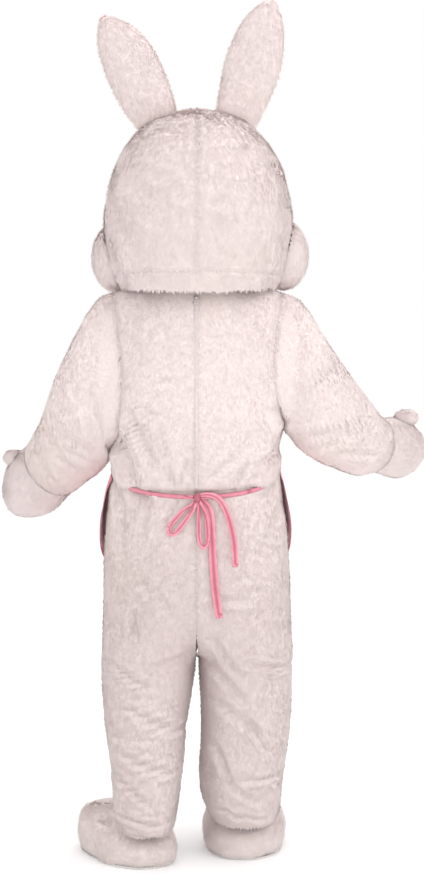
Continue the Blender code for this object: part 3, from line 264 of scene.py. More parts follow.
# Satin: flat is the finished ribbon, width by length; groove is how deep its middle is drawn in
Ribbon = namedtuple("Ribbon", "node flat held rests_on half groove")
RIBBONS = (
    Ribbon("apron_binding", (0.0120, 0.94), "stretched", "apron_panel", 0.0052, 0.0008),
    Ribbon("apron_waistband", (0.0145, 0.58), "stretched", "bodice_front_right", 0.0066, 0.0007),
    Ribbon("apron_tie_left", (0.0145, 0.285), "stretched", "bodice_back_left", 0.0066, 0.0012),
    Ribbon("apron_tie_right", (0.0145, 0.275), "stretched", "bodice_back_right", 0.0066, 0.0012),
    Ribbon("bow_knot", (0.0200, 0.026), "folded", "apron_tie_left", 0.0085, 0.0006),
    Ribbon("bow_loop_left", (0.0130, 0.185), "folded", "bow_knot", 0.0058, 0.0009),
    Ribbon("bow_loop_right", (0.0125, 0.200), "folded", "bow_knot", 0.0054, 0.0009),
    Ribbon("bow_tail_long", (0.0205, 0.270), "hung", "bow_knot", 0.0094, 0.0012),
    Ribbon("bow_tail_short", (0.0175, 0.190), "hung", "bow_knot", 0.0078, 0.0011),
)

# Apron panel: the depth of its gathers, its wall, where the gathers start and end, and how many there are
APRON_GATHER = 0.0035
APRON_WALL = 0.002
APRON_TOP_Z = -0.462
APRON_DROP = 0.20
APRON_FLUTES = 17

# Zip: pitch of its teeth, their half size across, out and along, how far each stands aside and
# proud, the length that their tilt is read over, and how far the plush's edges are drawn in
TOOTH_PITCH = 0.0026
TOOTH_HALF = (0.0010, 0.0008, 0.0006)
TOOTH_ASIDE = 0.0007
TOOTH_PROUD = 0.0014
TOOTH_TILT_OVER = 0.004
ZIP_FOOT_Z = -0.436
ZIP_HEAD_Z = -0.006
PLUSH_PULL = 0.0026


def ripple(points, size, seed):
    """A smooth, repeatable unevenness of about -1 to 1, whose bumps are size metres apart."""
    dice = np.random.default_rng(seed)
    total = np.zeros(len(points))
    waves = 14
    for _ in range(waves):
        heading = dice.normal(size=3)
        heading *= 2 * math.pi / size * dice.uniform(0.55, 1.25) / np.linalg.norm(heading)
        total += np.sin(points @ heading + dice.uniform(0, 2 * math.pi))
    return total / math.sqrt(waves / 2) / 1.6


def units(vectors):
    """The vectors at length one."""
    return vectors / np.maximum(np.linalg.norm(vectors, axis=1, keepdims=True), 1e-12)


def points_of(mesh):
    """A mesh's vertices as an array."""
    flat = np.empty(len(mesh.vertices) * 3)
    mesh.vertices.foreach_get("co", flat)
    return flat.reshape(-1, 3)


def set_points(mesh, points):
    """Moves a mesh's vertices."""
    mesh.vertices.foreach_set("co", np.ascontiguousarray(points, np.float32).ravel())
    mesh.update()


def triangles_of(mesh):
    """A mesh's triangles."""
    mesh.calc_loop_triangles()
    return mesh.loop_triangles


def normals_of(corners, points):
    """Vertex normals and the triangles' areas, from the outer triangles alone.

    The normals along a seam then face as the cloth does.
    """
    a, b, c = (points[corners[:, k]] for k in range(3))
    across = np.cross(b - a, c - a)
    total = np.zeros_like(points)
    for k in range(3):
        np.add.at(total, corners[:, k], across)
    return units(total), np.linalg.norm(across, axis=1) / 2


def shader(name):
    """A new material and its main shader."""
    made = bpy.data.materials.new(name)
    made.use_nodes = True
    return made, made.node_tree, made.node_tree.nodes["Principled BSDF"]


def noise(tree, scale, detail, roughness=0.5, stretch=None):
    """A noise texture in the object's own coordinates."""
    place = tree.nodes.new("ShaderNodeTexCoord")
    source = place.outputs["Object"]
    if stretch:
        mapping = tree.nodes.new("ShaderNodeMapping")
        mapping.inputs["Scale"].default_value = stretch
        tree.links.new(source, mapping.inputs["Vector"])
        source = mapping.outputs["Vector"]
    texture = tree.nodes.new("ShaderNodeTexNoise")
    texture.inputs["Scale"].default_value = scale
    texture.inputs["Detail"].default_value = detail
    texture.inputs["Roughness"].default_value = roughness
    tree.links.new(source, texture.inputs["Vector"])
    return texture.outputs["Fac"]


def ramp(tree, source, stops):
    """Colours read from a value."""
    made = tree.nodes.new("ShaderNodeValToRGB")
    elements = made.color_ramp.elements
    while len(elements) < len(stops):
        elements.new(0.5)
    for element, (place, colour) in zip(elements, stops):
        element.position = place
        element.color = (*colour, 1.0)
    tree.links.new(source, made.inputs["Fac"])
    return made.outputs["Color"]


def mixed(tree, share, first, second, kind="MIX"):
    """Two colours mixed by a share, which is a number or a socket."""
    made = tree.nodes.new("ShaderNodeMix")
    made.data_type = "RGBA"
    made.blend_type = kind
    sockets = (made.inputs["Factor"], made.inputs["A"], made.inputs["B"])
    for value, socket in zip((share, first, second), sockets):
        if isinstance(value, bpy.types.NodeSocket):
            tree.links.new(value, socket)
        elif isinstance(value, tuple):
            socket.default_value = (*value, 1.0)
        else:
            socket.default_value = value
    return made.outputs["Result"]


def bump(tree, surface, height, strength, distance):
    """Adds a bump from a height to a shader."""
    made = tree.nodes.new("ShaderNodeBump")
    made.inputs["Strength"].default_value = strength
    made.inputs["Distance"].default_value = distance
    tree.links.new(height, made.inputs["Height"])
    tree.links.new(made.outputs["Normal"], surface.inputs["Normal"])


def shade_towards_floor(tree, colour, stops):
    """Darkens a colour by height with painted shade, as less light falls on the plush towards the floor."""
    place = tree.nodes.new("ShaderNodeTexCoord")
    parts = tree.nodes.new("ShaderNodeSeparateXYZ")
    tree.links.new(place.outputs["Object"], parts.inputs["Vector"])
    height = tree.nodes.new("ShaderNodeMapRange")
    height.inputs["From Min"].default_value = FLOOR_Z
    height.inputs["From Max"].default_value = 0.0
    tree.links.new(parts.outputs["Z"], height.inputs["Value"])
    shade_tint = ramp(tree, height.outputs["Result"], stops)
    return mixed(tree, 1.0, colour, shade_tint, "MULTIPLY")


def plush_material(name, light, deep, warm, floor_shade=None):
    """Short pile: mottled, with small tufts in it and a soft sheen, and painted shade towards the floor if
    given.
    """
    made, tree, surface = shader(name)
    broad = ramp(tree, noise(tree, 6.0, 4.0), ((0.35, deep), (0.62, light)))
    tufts = ramp(tree, noise(tree, 150.0, 3.0, 0.6), ((0.34, (0.94, 0.93, 0.93)), (0.60, WHITE)))
    patches = ramp(tree, noise(tree, 2.3, 2.0), ((0.52, WHITE), (0.75, warm)))
    colour = mixed(tree, 1.0, broad, tufts, "MULTIPLY")
    colour = mixed(tree, 1.0, colour, patches, "MULTIPLY")
    # Painted shade: darker towards the floor
    if floor_shade:
        colour = shade_towards_floor(tree, colour, floor_shade)
    tree.links.new(colour, surface.inputs["Base Color"])
    surface.inputs["Roughness"].default_value = 0.95
    surface.inputs["Sheen Weight"].default_value = 0.25
    surface.inputs["Sheen Roughness"].default_value = 0.5
    surface.inputs["Specular IOR Level"].default_value = 0.15
    bump(tree, surface, noise(tree, 320.0, 3.0, 0.6), 0.5, 0.0015)
    return made


def pile_material(name, root, tip, warm, floor_shade=None):
    """The pile's blades: painted shade at their roots, uneven tips, and painted shade towards the floor if
    given.
    """
    made, tree, surface = shader(name)
    along = tree.nodes.new("ShaderNodeAttribute")
    along.attribute_name = "tip"
    # Painted shade: each blade is darker at its root, down among the other blades
    blade = mixed(tree, along.outputs["Fac"], root, tip)
    tone = ramp(tree, noise(tree, 95.0, 2.0, 0.6), ((0.30, (0.97, 0.965, 0.96)), (0.62, WHITE)))
    patches = ramp(tree, noise(tree, 5.0, 3.0), ((0.42, WHITE), (0.72, warm)))
    colour = mixed(tree, 1.0, blade, tone, "MULTIPLY")
    colour = mixed(tree, 1.0, colour, patches, "MULTIPLY")
    # Painted shade: darker towards the floor
    if floor_shade:
        colour = shade_towards_floor(tree, colour, floor_shade)
    tree.links.new(colour, surface.inputs["Base Color"])
    surface.inputs["Roughness"].default_value = 0.9
    surface.inputs["Specular IOR Level"].default_value = 0.12
    surface.inputs["Sheen Weight"].default_value = 0.2
    surface.inputs["Sheen Roughness"].default_value = 0.5
    return made


def lining_material():
    """The knitted backing on the costume's inside."""
    made, tree, surface = shader("backing")
    tone = ramp(tree, noise(tree, 900.0, 2.0), ((0.35, (0.60, 0.57, 0.56)), (0.65, (0.72, 0.69, 0.68))))
    tree.links.new(tone, surface.inputs["Base Color"])
    surface.inputs["Roughness"].default_value = 0.9
    bump(tree, surface, noise(tree, 900.0, 2.0), 0.3, 0.0004)
    return made


def satin_material(name, light, deep):
    """Woven pink satin, a little shiny: painted shade in the fold's middle, and stitched at its edges."""
    made, tree, surface = shader(name)
    across = tree.nodes.new("ShaderNodeAttribute")
    across.attribute_name = "across"
    tone = ramp(tree, noise(tree, 60.0, 3.0), ((0.35, deep), (0.65, light)))
    # Painted shade: the ribbon's middle, where it is folded in, is darkened
    groove = ramp(tree, across.outputs["Fac"], (
        (0.0, WHITE), (0.30, (0.97, 0.95, 0.95)), (0.50, PAINTED_FOLD_SHADE), (0.70, (0.97, 0.95, 0.95)), (1.0, WHITE),
    ))
    colour = mixed(tree, 1.0, tone, groove, "MULTIPLY")
    edges = ramp(tree, across.outputs["Fac"], (
        (0.0, BLACK), (0.12, BLACK), (0.16, WHITE), (0.20, BLACK),
        (0.80, BLACK), (0.84, WHITE), (0.88, BLACK),
    ))
    place = tree.nodes.new("ShaderNodeTexCoord")
    dashes = tree.nodes.new("ShaderNodeTexWave")
    dashes.bands_direction = "DIAGONAL"
    dashes.inputs["Scale"].default_value = 45.0
    tree.links.new(place.outputs["Object"], dashes.inputs["Vector"])
    stitches = ramp(tree, dashes.outputs["Fac"], ((0.30, BLACK), (0.45, WHITE)))
    stitched = mixed(tree, 1.0, edges, stitches, "MULTIPLY")
    colour = mixed(tree, stitched, colour, THREAD)
    tree.links.new(colour, surface.inputs["Base Color"])
    surface.inputs["Roughness"].default_value = 0.48
    surface.inputs["Sheen Weight"].default_value = 0.3
    surface.inputs["Sheen Roughness"].default_value = 0.4
    weave = noise(tree, 1500.0, 1.0, 0.5, (1.0, 1.0, 0.35))
    bump(tree, surface, weave, 0.25, 0.0003)
    return made


def metal_material(name, light, deep):
    """Zip metal with small scratches."""
    made, tree, surface = shader(name)
    tone = ramp(tree, noise(tree, 400.0, 3.0), ((0.35, deep), (0.65, light)))
    tree.links.new(tone, surface.inputs["Base Color"])
    surface.inputs["Metallic"].default_value = 0.55
    scratches = noise(tree, 900.0, 2.0, 0.5, (1.0, 1.0, 6.0))
    dullness = ramp(tree, scratches, ((0.3, (0.28, 0.28, 0.28)), (0.7, (0.42, 0.42, 0.42))))
    tree.links.new(dullness, surface.inputs["Roughness"])
    return made


def plain_material(name, light, deep, roughness, scale, bump_depth=0.0002, coat=0.0):
    """A matte or glossy finish with a fine grain."""
    made, tree, surface = shader(name)
    tone = ramp(tree, noise(tree, scale, 3.0), ((0.35, deep), (0.65, light)))
    tree.links.new(tone, surface.inputs["Base Color"])
    surface.inputs["Roughness"].default_value = roughness
    surface.inputs["Coat Weight"].default_value = coat
    bump(tree, surface, noise(tree, scale * 2, 2.0), 0.2, bump_depth)
    return made


def camera_and_light():
    """The photograph's view, over a pale floor in soft studio light."""
    lens = bpy.data.cameras.new("camera")
    lens.sensor_fit = "VERTICAL"
    lens.angle = VIEW_ANGLE
    camera = bpy.data.objects.new("camera", lens)
    camera.location = EYE
    camera.rotation_euler = (math.pi / 2 - TILT, 0.0, 0.0)
    bpy.context.scene.collection.objects.link(camera)
    bpy.context.scene.camera = camera

    bpy.ops.object.select_all(action="DESELECT")
    bpy.ops.mesh.primitive_circle_add(
        vertices=96, radius=60.0, fill_type="NGON", location=(0.0, 0.0, FLOOR_Z - 0.0005)
    )
    floor = bpy.context.object
    floor.name = "floor"
    made, tree, surface = shader("floor")
    tone = ramp(tree, noise(tree, 1.5, 2.0), ((0.3, (0.92, 0.92, 0.92)), (0.7, (0.94, 0.94, 0.94))))
    tree.links.new(tone, surface.inputs["Base Color"])
    surface.inputs["Roughness"].default_value = 0.9
    surface.inputs["Emission Color"].default_value = (1.0, 1.0, 1.0, 1.0)
    surface.inputs["Emission Strength"].default_value = 0.12
    floor.data.materials.append(made)

    lights = (
        ("key", (3.0, -1.9, 2.0), 1.8, 22.0, (1.0, 0.985, 0.98)),
        ("fill", (-2.4, -2.6, 1.6), 2.4, 2.0, (1.0, 0.99, 0.985)),
        ("top", (0.3, -0.9, 2.6), 2.0, 15.0, WHITE),
        ("low", (0.8, -3.2, -0.6), 1.6, 9.0, WHITE),
        ("front", (0.4, 4.0, 1.4), 3.0, 34.0, WHITE),
    )
    for name, place, size, power, colour in lights:
        lamp = bpy.data.lights.new(name, "AREA")
        lamp.size = size
        lamp.energy = power
        lamp.color = colour
        holder = bpy.data.objects.new(name, lamp)
        holder.location = place
        toward = Vector((0.0, 0.0, -0.35)) - Vector(place)
        holder.rotation_euler = toward.to_track_quat("-Z", "Y").to_euler()
        bpy.context.scene.collection.objects.link(holder)
    world = bpy.data.worlds.new("studio")
    world.use_nodes = True
    world.node_tree.nodes["Background"].inputs["Color"].default_value = (1.0, 1.0, 1.0, 1.0)
    world.node_tree.nodes["Background"].inputs["Strength"].default_value = 1.0
    bpy.context.scene.world = world
    bpy.context.scene.view_settings.view_transform = "Standard"


def spine(points, where):
    """The point in the middle of the body or limb that each point goes round."""
    centre = np.zeros_like(points)
    if where in ("back", "front"):
        z = points[:, 2]
        spread = np.clip((-0.70 - z) / 0.20, 0, 1)
        side = np.sign(points[:, 0])
        shift = np.interp(-z, (0.85, 1.25), (0.0, 0.09)) * (side < 0)
        centre[:, 0] = side * 0.115 * spread
        centre[:, 1] = -shift
        centre[:, 2] = z
    else:
        shoulder, way = ARMS[where]
        side = math.copysign(1.0, shoulder[0])
        share = np.clip((side * points[:, 0] - abs(shoulder[0])) / abs(way[0]), 0, 1)
        centre[:] = np.array(shoulder) + share[:, None] * np.array(way)
    return centre


def middles(points, node):
    """The middle of the hollow that a plush piece goes round, for each point."""
    if node.startswith("head"):
        return np.array([0.002, 0.0, 0.0]) + np.array([0.0, 0.0, 1.0]) * np.clip(points[:, 2:3], 0.05, 0.36)
    if node.startswith("boot"):
        return np.tile(np.array([points[:, 0].mean(), points[:, 1].mean(), -1.20]), (len(points), 1))
    if node.startswith(("sleeve", "mitten")):
        return spine(points, "left arm" if "left" in node else "right arm")
    return spine(points, "back")


def skin_of(work, wall):
    """The faces of a hollow piece that have its wall's other side close behind them."""
    tree = BVHTree.FromBMesh(work)
    skin = set()
    for face in work.faces:
        into = -face.normal
        place = face.calc_center_median() - into * PROBE_OUT
        left = wall * PROBE_WALLS + PROBE_OUT
        while left > 0:
            found, normal, _, way = tree.ray_cast(place, into, left)
            if found is None:
                break
            if normal.dot(into) > 0.5:
                skin.add(face)
                break
            place = found + into * PROBE_STEP
            left -= way + PROBE_STEP
    return skin


def copy_of(node, name, wall=None):
    """A copy of a solid's mesh as its own object, its faces joined and its sides told apart.

    Faces get material 0 on the outside, 1 on the inside and 2 on the walls' edges.
    """
    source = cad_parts[node]
    mesh = source.data.copy()
    mesh.name = name
    mesh.transform(source.matrix_world)
    mesh.materials.clear()
    work = bmesh.new()
    work.from_mesh(mesh)
    bmesh.ops.remove_doubles(work, verts=work.verts, dist=2e-5)
    bmesh.ops.join_triangles(
        work,
        faces=work.faces,
        angle_face_threshold=math.radians(JOIN_FACES),
        angle_shape_threshold=math.radians(JOIN_SHAPES),
    )
    work.normal_update()
    crease = work.edges.layers.float.new("crease_edge")
    sharp = set()
    for edge in work.edges:
        if len(edge.link_faces) != 2 or edge.calc_face_angle(0.0) > math.radians(SHARP_EDGE):
            sharp.add(edge)
            edge[crease] = 1.0
    regions = []
    left = skin_of(work, wall) if wall else set(work.faces)
    for face in work.faces:
        face.material_index = 2
        face.smooth = True
    while left:
        stack = [left.pop()]
        region = []
        while stack:
            face = stack.pop()
            region.append(face)
            for edge in face.edges:
                if edge in sharp and not wall:
                    continue
                for other in edge.link_faces:
                    if other in left:
                        left.discard(other)
                        stack.append(other)
        regions.append(region)
    regions.sort(key=lambda region: -sum(face.calc_area() for face in region))
    for rank, region in enumerate(regions):
        side = min(rank, 2)
        if wall:
            centres = np.array([face.calc_center_median() for face in region])
            away = centres - middles(centres, node)
            facing = np.array([face.normal * face.calc_area() for face in region])
            side = 0 if (facing * away).sum() > 0 else 1
        for face in region:
            face.material_index = side
    work.to_mesh(mesh)
    work.free()
    piece = bpy.data.objects.new(name, mesh)
    bpy.context.scene.collection.objects.link(piece)
    return piece


def refine(piece, levels):
    """Rounds a piece with subdivision, its walls' edges kept."""
    change = piece.modifiers.new("smooth", "SUBSURF")
    change.levels = levels
    change.render_levels = levels
    bpy.ops.object.select_all(action="DESELECT")
    piece.select_set(True)
    bpy.context.view_layer.objects.active = piece
    bpy.ops.object.modifier_apply(modifier=change.name)
    piece.data.shade_smooth()


def crease_depths(points, *parts):
    """How far the creases of those sides or that limb, and the cloth's unevenness, draw each point in."""
    depth = 0.0014 * ripple(points, 0.11, 5) + 0.0006 * ripple(points, 0.045, 6)
    for crease in CREASES:
        if crease.part not in parts:
            continue
        faces = 1.0
        if crease.part == "back":
            faces = np.clip(0.5 - points[:, 1] / 0.06, 0, 1)
        if crease.part == "front":
            faces = np.clip(0.5 + points[:, 1] / 0.06, 0, 1)
        slant = math.radians(crease.slant)
        dx, dz = points[:, 0] - crease.x, points[:, 2] - crease.z
        along = (dx * math.cos(slant) + dz * math.sin(slant)) / (crease.length / 2)
        aside = dz * math.cos(slant) - dx * math.sin(slant) + 0.012 * np.sin(along * 1.7)
        across = aside / (crease.width / 2)
        trough = np.exp(-across ** 2) - RIDGE * np.exp(-((np.abs(across) - 1.7) / 0.7) ** 2)
        depth += CREASE_STRENGTH * crease.depth * faces * trough * np.exp(-along ** 4)
    return depth


def creased(points, node):
    """The points drawn in by their creases. Sleeves share the body's near the armhole, so they meet."""
    body = units(spine(points, "back") - points) * crease_depths(points, "back", "front")[:, None]
    if not node.startswith(("sleeve", "mitten")):
        return points + body
    limb = "left arm" if "left" in node else "right arm"
    arm = units(spine(points, limb) - points) * crease_depths(points, limb)[:, None]
    share = np.clip((np.abs(points[:, 0]) - ARMHOLE_X) / ARMHOLE_BLEND, 0, 1)[:, None]
    return points + body * (1 - share) + arm * share


def closed_zip(points):
    """Draws the plush's edges together over the zip below the slider."""
    wide = np.abs(points[:, 0])
    z = points[:, 2]
    near = (points[:, 1] < -0.05) * np.clip((-0.022 - z) / 0.015, 0, 1) * np.clip((z + 0.446) / 0.012, 0, 1)
    pull = PLUSH_PULL * np.exp(-(np.maximum(wide - 0.0036, 0) / 0.012) ** 2) * near
    points[:, 0] = np.sign(points[:, 0]) * np.where(wide > 0.001, np.maximum(wide - pull, 0.0006), wide)
    return points


def blouson(points):
    """The bodice's back, which sags over the tie beside the apron's edges."""
    beside = np.exp(-((points[:, 0] + 0.158) / 0.043) ** 4) + np.exp(-((points[:, 0] - 0.182) / 0.045) ** 4)
    over = beside * (points[:, 1] < -0.02) * np.exp(-((points[:, 2] - SAG_Z) / SAG_HEIGHT) ** 2)
    out = units(points * np.array((1.0, 1.0, 0.0)))
    return points + out * (SAG_OUT * over)[:, None] + np.array((0.0, 0.0, -SAG_DOWN)) * over[:, None]


def seam_groove(points, inward):
    """Draws the cloth in along the sewn seams at the centre back and under the head's back."""
    back = points[:, 1] < -0.02
    groove = np.exp(-(points[:, 0] / SEAM_WIDTH) ** 2) * back * (points[:, 2] > CROTCH_Z)
    groove *= np.where((points[:, 2] > ZIP_FOOT_Z) & (points[:, 2] < 0.0), SEAM_AT_ZIP, 1.0)
    hem = np.exp(-((points[:, 2] - HEM_Z) / SEAM_WIDTH) ** 2) * (np.hypot(points[:, 0], points[:, 1]) > 0.15)
    return points + inward * (SEAM_DEPTH * np.maximum(groove, hem))[:, None]


def outside(piece):
    """The outer faces of a piece as triangles, their areas, and the mesh's points and normals."""
    mesh = piece.data
    mesh.calc_loop_triangles()
    count = len(mesh.loop_triangles)
    corners = np.empty(count * 3, np.int32)
    slots = np.empty(count, np.int32)
    mesh.loop_triangles.foreach_get("vertices", corners)
    mesh.loop_triangles.foreach_get("material_index", slots)
    corners = corners.reshape(-1, 3)[slots == 0]
    points = points_of(mesh)
    normals, area = normals_of(corners, points)
    return corners, area, points, normals


def sink(piece, depth):
    """Lowers the outer side under the pile's tips. The wall's edges go with it."""
    corners, _, points, normals = outside(piece)
    on_outside = np.zeros(len(points), bool)
    on_outside[corners.ravel()] = True
    points[on_outside] -= normals[on_outside] * depth
    set_points(piece.data, points)


def headroom(roots, normals, cover):
    """How much of its height each blade may keep under the satin that lies over it, from 0 to 1."""
    room = np.ones(len(roots))
    near = (np.abs(roots[:, 2] + 0.58) < 0.19) | (np.abs(roots[:, 0]) < 0.012)
    for k in np.flatnonzero(near):
        hit = cover.ray_cast(Vector(roots[k]), Vector(normals[k]), COVER_REACH)
        if hit[0] is not None:
            room[k] = max(LEAST_ROOM, min(1.0, (hit[3] - 0.001) / 0.006))
    return room


def rim_of(piece):
    """The points of the edge all round a piece's outside, to find near ones in."""
    mesh = piece.data
    outer, rest = set(), set()
    for face in mesh.polygons:
        (outer if face.material_index == 0 else rest).update(face.vertices)
    edge = sorted(outer & rest)
    tree = KDTree(len(edge))
    for k, vertex in enumerate(edge):
        tree.insert(mesh.vertices[vertex].co, k)
    tree.balance()
    return tree if edge else None


def by_the_seam(corners, points, rim):
    """How much thicker the pile is on each triangle, where it has a seam to hide."""
    centres = points[corners].mean(axis=1)
    return np.array([SEAM_THICKER if rim.find(centre)[2] < SEAM_REACH else 1.0 for centre in centres])


def over_seams(roots, rim):
    """Headings that lead blades near a piece's edge across its seam."""
    lead = np.zeros_like(roots)
    for k, root in enumerate(roots):
        place, _, away = rim.find(root)
        if away < SEAM_REACH:
            toward = np.array(place) - root
            lead[k] = toward / max(away, 1e-6) * (1 - away / SEAM_REACH) * SEAM_LEAD
    return lead


def grow_pile(name, piece, pile, finish, seed, cover=None):
    """Blades of pile over a piece's outside, combed down and clumped, and pressed flat under satin."""
    corners, area, points, normals = outside(piece)
    rim = None if name.startswith("head_hem") else rim_of(piece)
    if rim:
        area = area * by_the_seam(corners, points, rim)
    count = int(min(MOST_BLADES, area.sum() * 1e4 * pile.per_cm2))
    dice = np.random.default_rng(seed)
    chosen = np.searchsorted(np.cumsum(area) / area.sum(), dice.random(count)).clip(0, len(area) - 1)
    r, s = dice.random(count), dice.random(count)
    flip = r + s > 1
    r[flip], s[flip] = 1 - r[flip], 1 - s[flip]
    weights = np.stack([1 - r - s, r, s], 1)
    at = corners[chosen]
    root = (points[at] * weights[:, :, None]).sum(1)
    normal = units((normals[at] * weights[:, :, None]).sum(1))
    down = np.tile(np.array([0.0, 0.0, -1.0]), (count, 1))
    down[:, 0] += 0.40 * ripple(root, 0.09, seed + 11) + 0.16 * ripple(root, 0.022, seed + 12)
    down[:, 1] += 0.40 * ripple(root, 0.09, seed + 13) + 0.16 * ripple(root, 0.022, seed + 14)
    down += dice.normal(scale=DOWN_SPREAD, size=(count, 3))
    if rim:
        down += over_seams(root, rim)
    flat = units(down - normal * (down * normal).sum(1, keepdims=True))
    lean = np.radians(np.clip(dice.normal(pile.lean, LEAN_SPREAD, count), *LEAN_RANGE))[:, None]
    heading = normal * np.cos(lean) + flat * np.sin(lean)
    length = pile.length * dice.uniform(*LENGTH_RANGE, count) * (1 + 0.09 * ripple(root, 0.016, seed + 15))
    if cover is not None:
        length = length * headroom(root, normal, cover)
    across = units(np.cross(normal, heading)) * (pile.width / 2) * dice.uniform(*WIDTH_RANGE, count)[:, None]
    low = root - normal * ROOT_DEPTH
    verts = np.stack([low + across, low - across, root + heading * length[:, None]], 1).reshape(-1, 3)
    verts[:, 2] = np.maximum(verts[:, 2], FLOOR_Z + 0.0004)

    mesh = bpy.data.meshes.new(name)
    mesh.vertices.add(3 * count)
    mesh.loops.add(3 * count)
    mesh.polygons.add(count)
    mesh.vertices.foreach_set("co", verts.astype(np.float32).ravel())
    mesh.loops.foreach_set("vertex_index", np.arange(3 * count, dtype=np.int32))
    mesh.polygons.foreach_set("loop_start", np.arange(0, 3 * count, 3, dtype=np.int32))
    mesh.polygons.foreach_set("loop_total", np.full(count, 3, np.int32))
    mesh.update(calc_edges=True)
    tip = mesh.attributes.new("tip", "FLOAT", "POINT")
    tip.data.foreach_set("value", np.tile(np.array([0, 0, 1], np.float32), count))
    shading = units(normal + 0.035 * dice.normal(size=(count, 3)) + 0.05 * flat)
    mesh.normals_split_custom_set(np.repeat(shading, 3, axis=0).tolist())
    turn = np.arctan2(root[:, 0] - root[:, 0].mean(), root[:, 1] - root[:, 1].mean())
    rise = np.interp(root[:, 2], (root[:, 2].min(), root[:, 2].max()), (0, 1))
    spot = np.stack([turn / (2 * math.pi) + 0.5, rise], 1)
    chart = spot[:, None, :] * 0.98 + np.array([[[0.001, 0.001], [0.005, 0.001], [0.003, 0.006]]])
    uv = mesh.uv_layers.new(name="OFBake")
    uv.uv.foreach_set("vector", chart.reshape(-1, 2).astype(np.float32).ravel())
    mesh.materials.append(finish)
    made = bpy.data.objects.new(name, mesh)
    bpy.context.scene.collection.objects.link(made)
    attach(made, "root")
    return count


def dress(piece, *finishes):
    """Gives a piece its materials in the order outside, inside, edges."""
    for finish in finishes:
        piece.data.materials.append(finish)


def cover_of(nodes):
    """What lies on the suit, for the pile to stay under."""
    verts, faces = [], []
    for node in nodes:
        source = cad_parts[node]
        start = len(verts)
        verts.extend(source.matrix_world @ vertex.co for vertex in source.data.vertices)
        faces.extend([start + k for k in face.vertices] for face in source.data.polygons)
    return BVHTree.FromPolygons(verts, faces)


def plush_panels(finishes):
    """Every sewn plush piece: its backing, creased and drawn in at its seams, and its pile."""
    total = 0
    satin = cover_of(("apron_panel", *(ribbon.node for ribbon in RIBBONS)))
    for number, panel in enumerate(PANELS):
        piece = copy_of(panel.node, f"{panel.node}_cloth", WALLS[panel.pile])
        refine(piece, 2)
        points = points_of(piece.data)
        if panel.node.startswith(("bodice", "trousers")):
            points = creased(points, panel.node)
            points = seam_groove(points, units(middles(points, panel.node) - points))
            if panel.node.startswith("bodice_back"):
                points = closed_zip(blouson(points))
        elif panel.node.startswith(("sleeve", "mitten")):
            points = creased(points, panel.node)
        else:
            inward = units(middles(points, panel.node) - points)
            bumps = 0.0020 * ripple(points, 0.09, 21) + 0.0011 * ripple(points, 0.035, 22)
            points = points + inward * bumps[:, None]
            if panel.node.startswith("head"):
                points = seam_groove(points, inward)
        set_points(piece.data, points)
        sink(piece, panel.pile.sunk)
        suit = panel.node.startswith(("bodice", "trousers", "sleeve"))
        skin = finishes["suit plush" if suit else "plush"]
        dress(piece, skin, finishes["backing"], skin)
        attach(piece, "root")
        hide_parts(panel.node)
        cover = satin if panel.node.startswith(("bodice", "trousers")) else None
        blades = finishes[PILES[panel.pile]]
        seed = PANEL_SEED + SEED_STEP * number
        total += grow_pile(f"{panel.node}_pile", piece, panel.pile, blades, seed, cover)
    return total


def stuffed_pieces(finishes):
    """Ears, cheeks, muzzle and thumbs: rounded, stuffed and covered in pile."""
    total = 0
    for number, (node, pile, kind) in enumerate(STUFFED):
        piece = copy_of(node, f"{node}_cloth")
        refine(piece, 2)
        sink(piece, pile.sunk * 0.6)
        skin = finishes[kind]
        dress(piece, skin, skin, skin)
        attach(piece, "root")
        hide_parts(node)
        blades = finishes[PILES[pile] if kind == "plush" else "pink pile"]
        seed = STUFFED_SEED + SEED_STEP * number
        total += grow_pile(f"{node}_pile", piece, pile, blades, seed)
    return total


def across_band(points, half):
    """Where each point lies across its band, from 0 to 1, read from the points near it."""
    found = np.full(len(points), 0.5)
    for k, point in enumerate(points):
        near = points[np.linalg.norm(points - point, axis=1) < half * 1.7]
        middle = near.mean(axis=0)
        _, spread, axes = np.linalg.svd(near - middle, full_matrices=False)
        found[k] = 0.5 + (point - middle) @ axes[1] / (2 * half)
        if axes[1][2] + 0.3 * axes[1][0] < 0:
            found[k] = 1 - found[k]
    return np.clip(found, 0, 1)


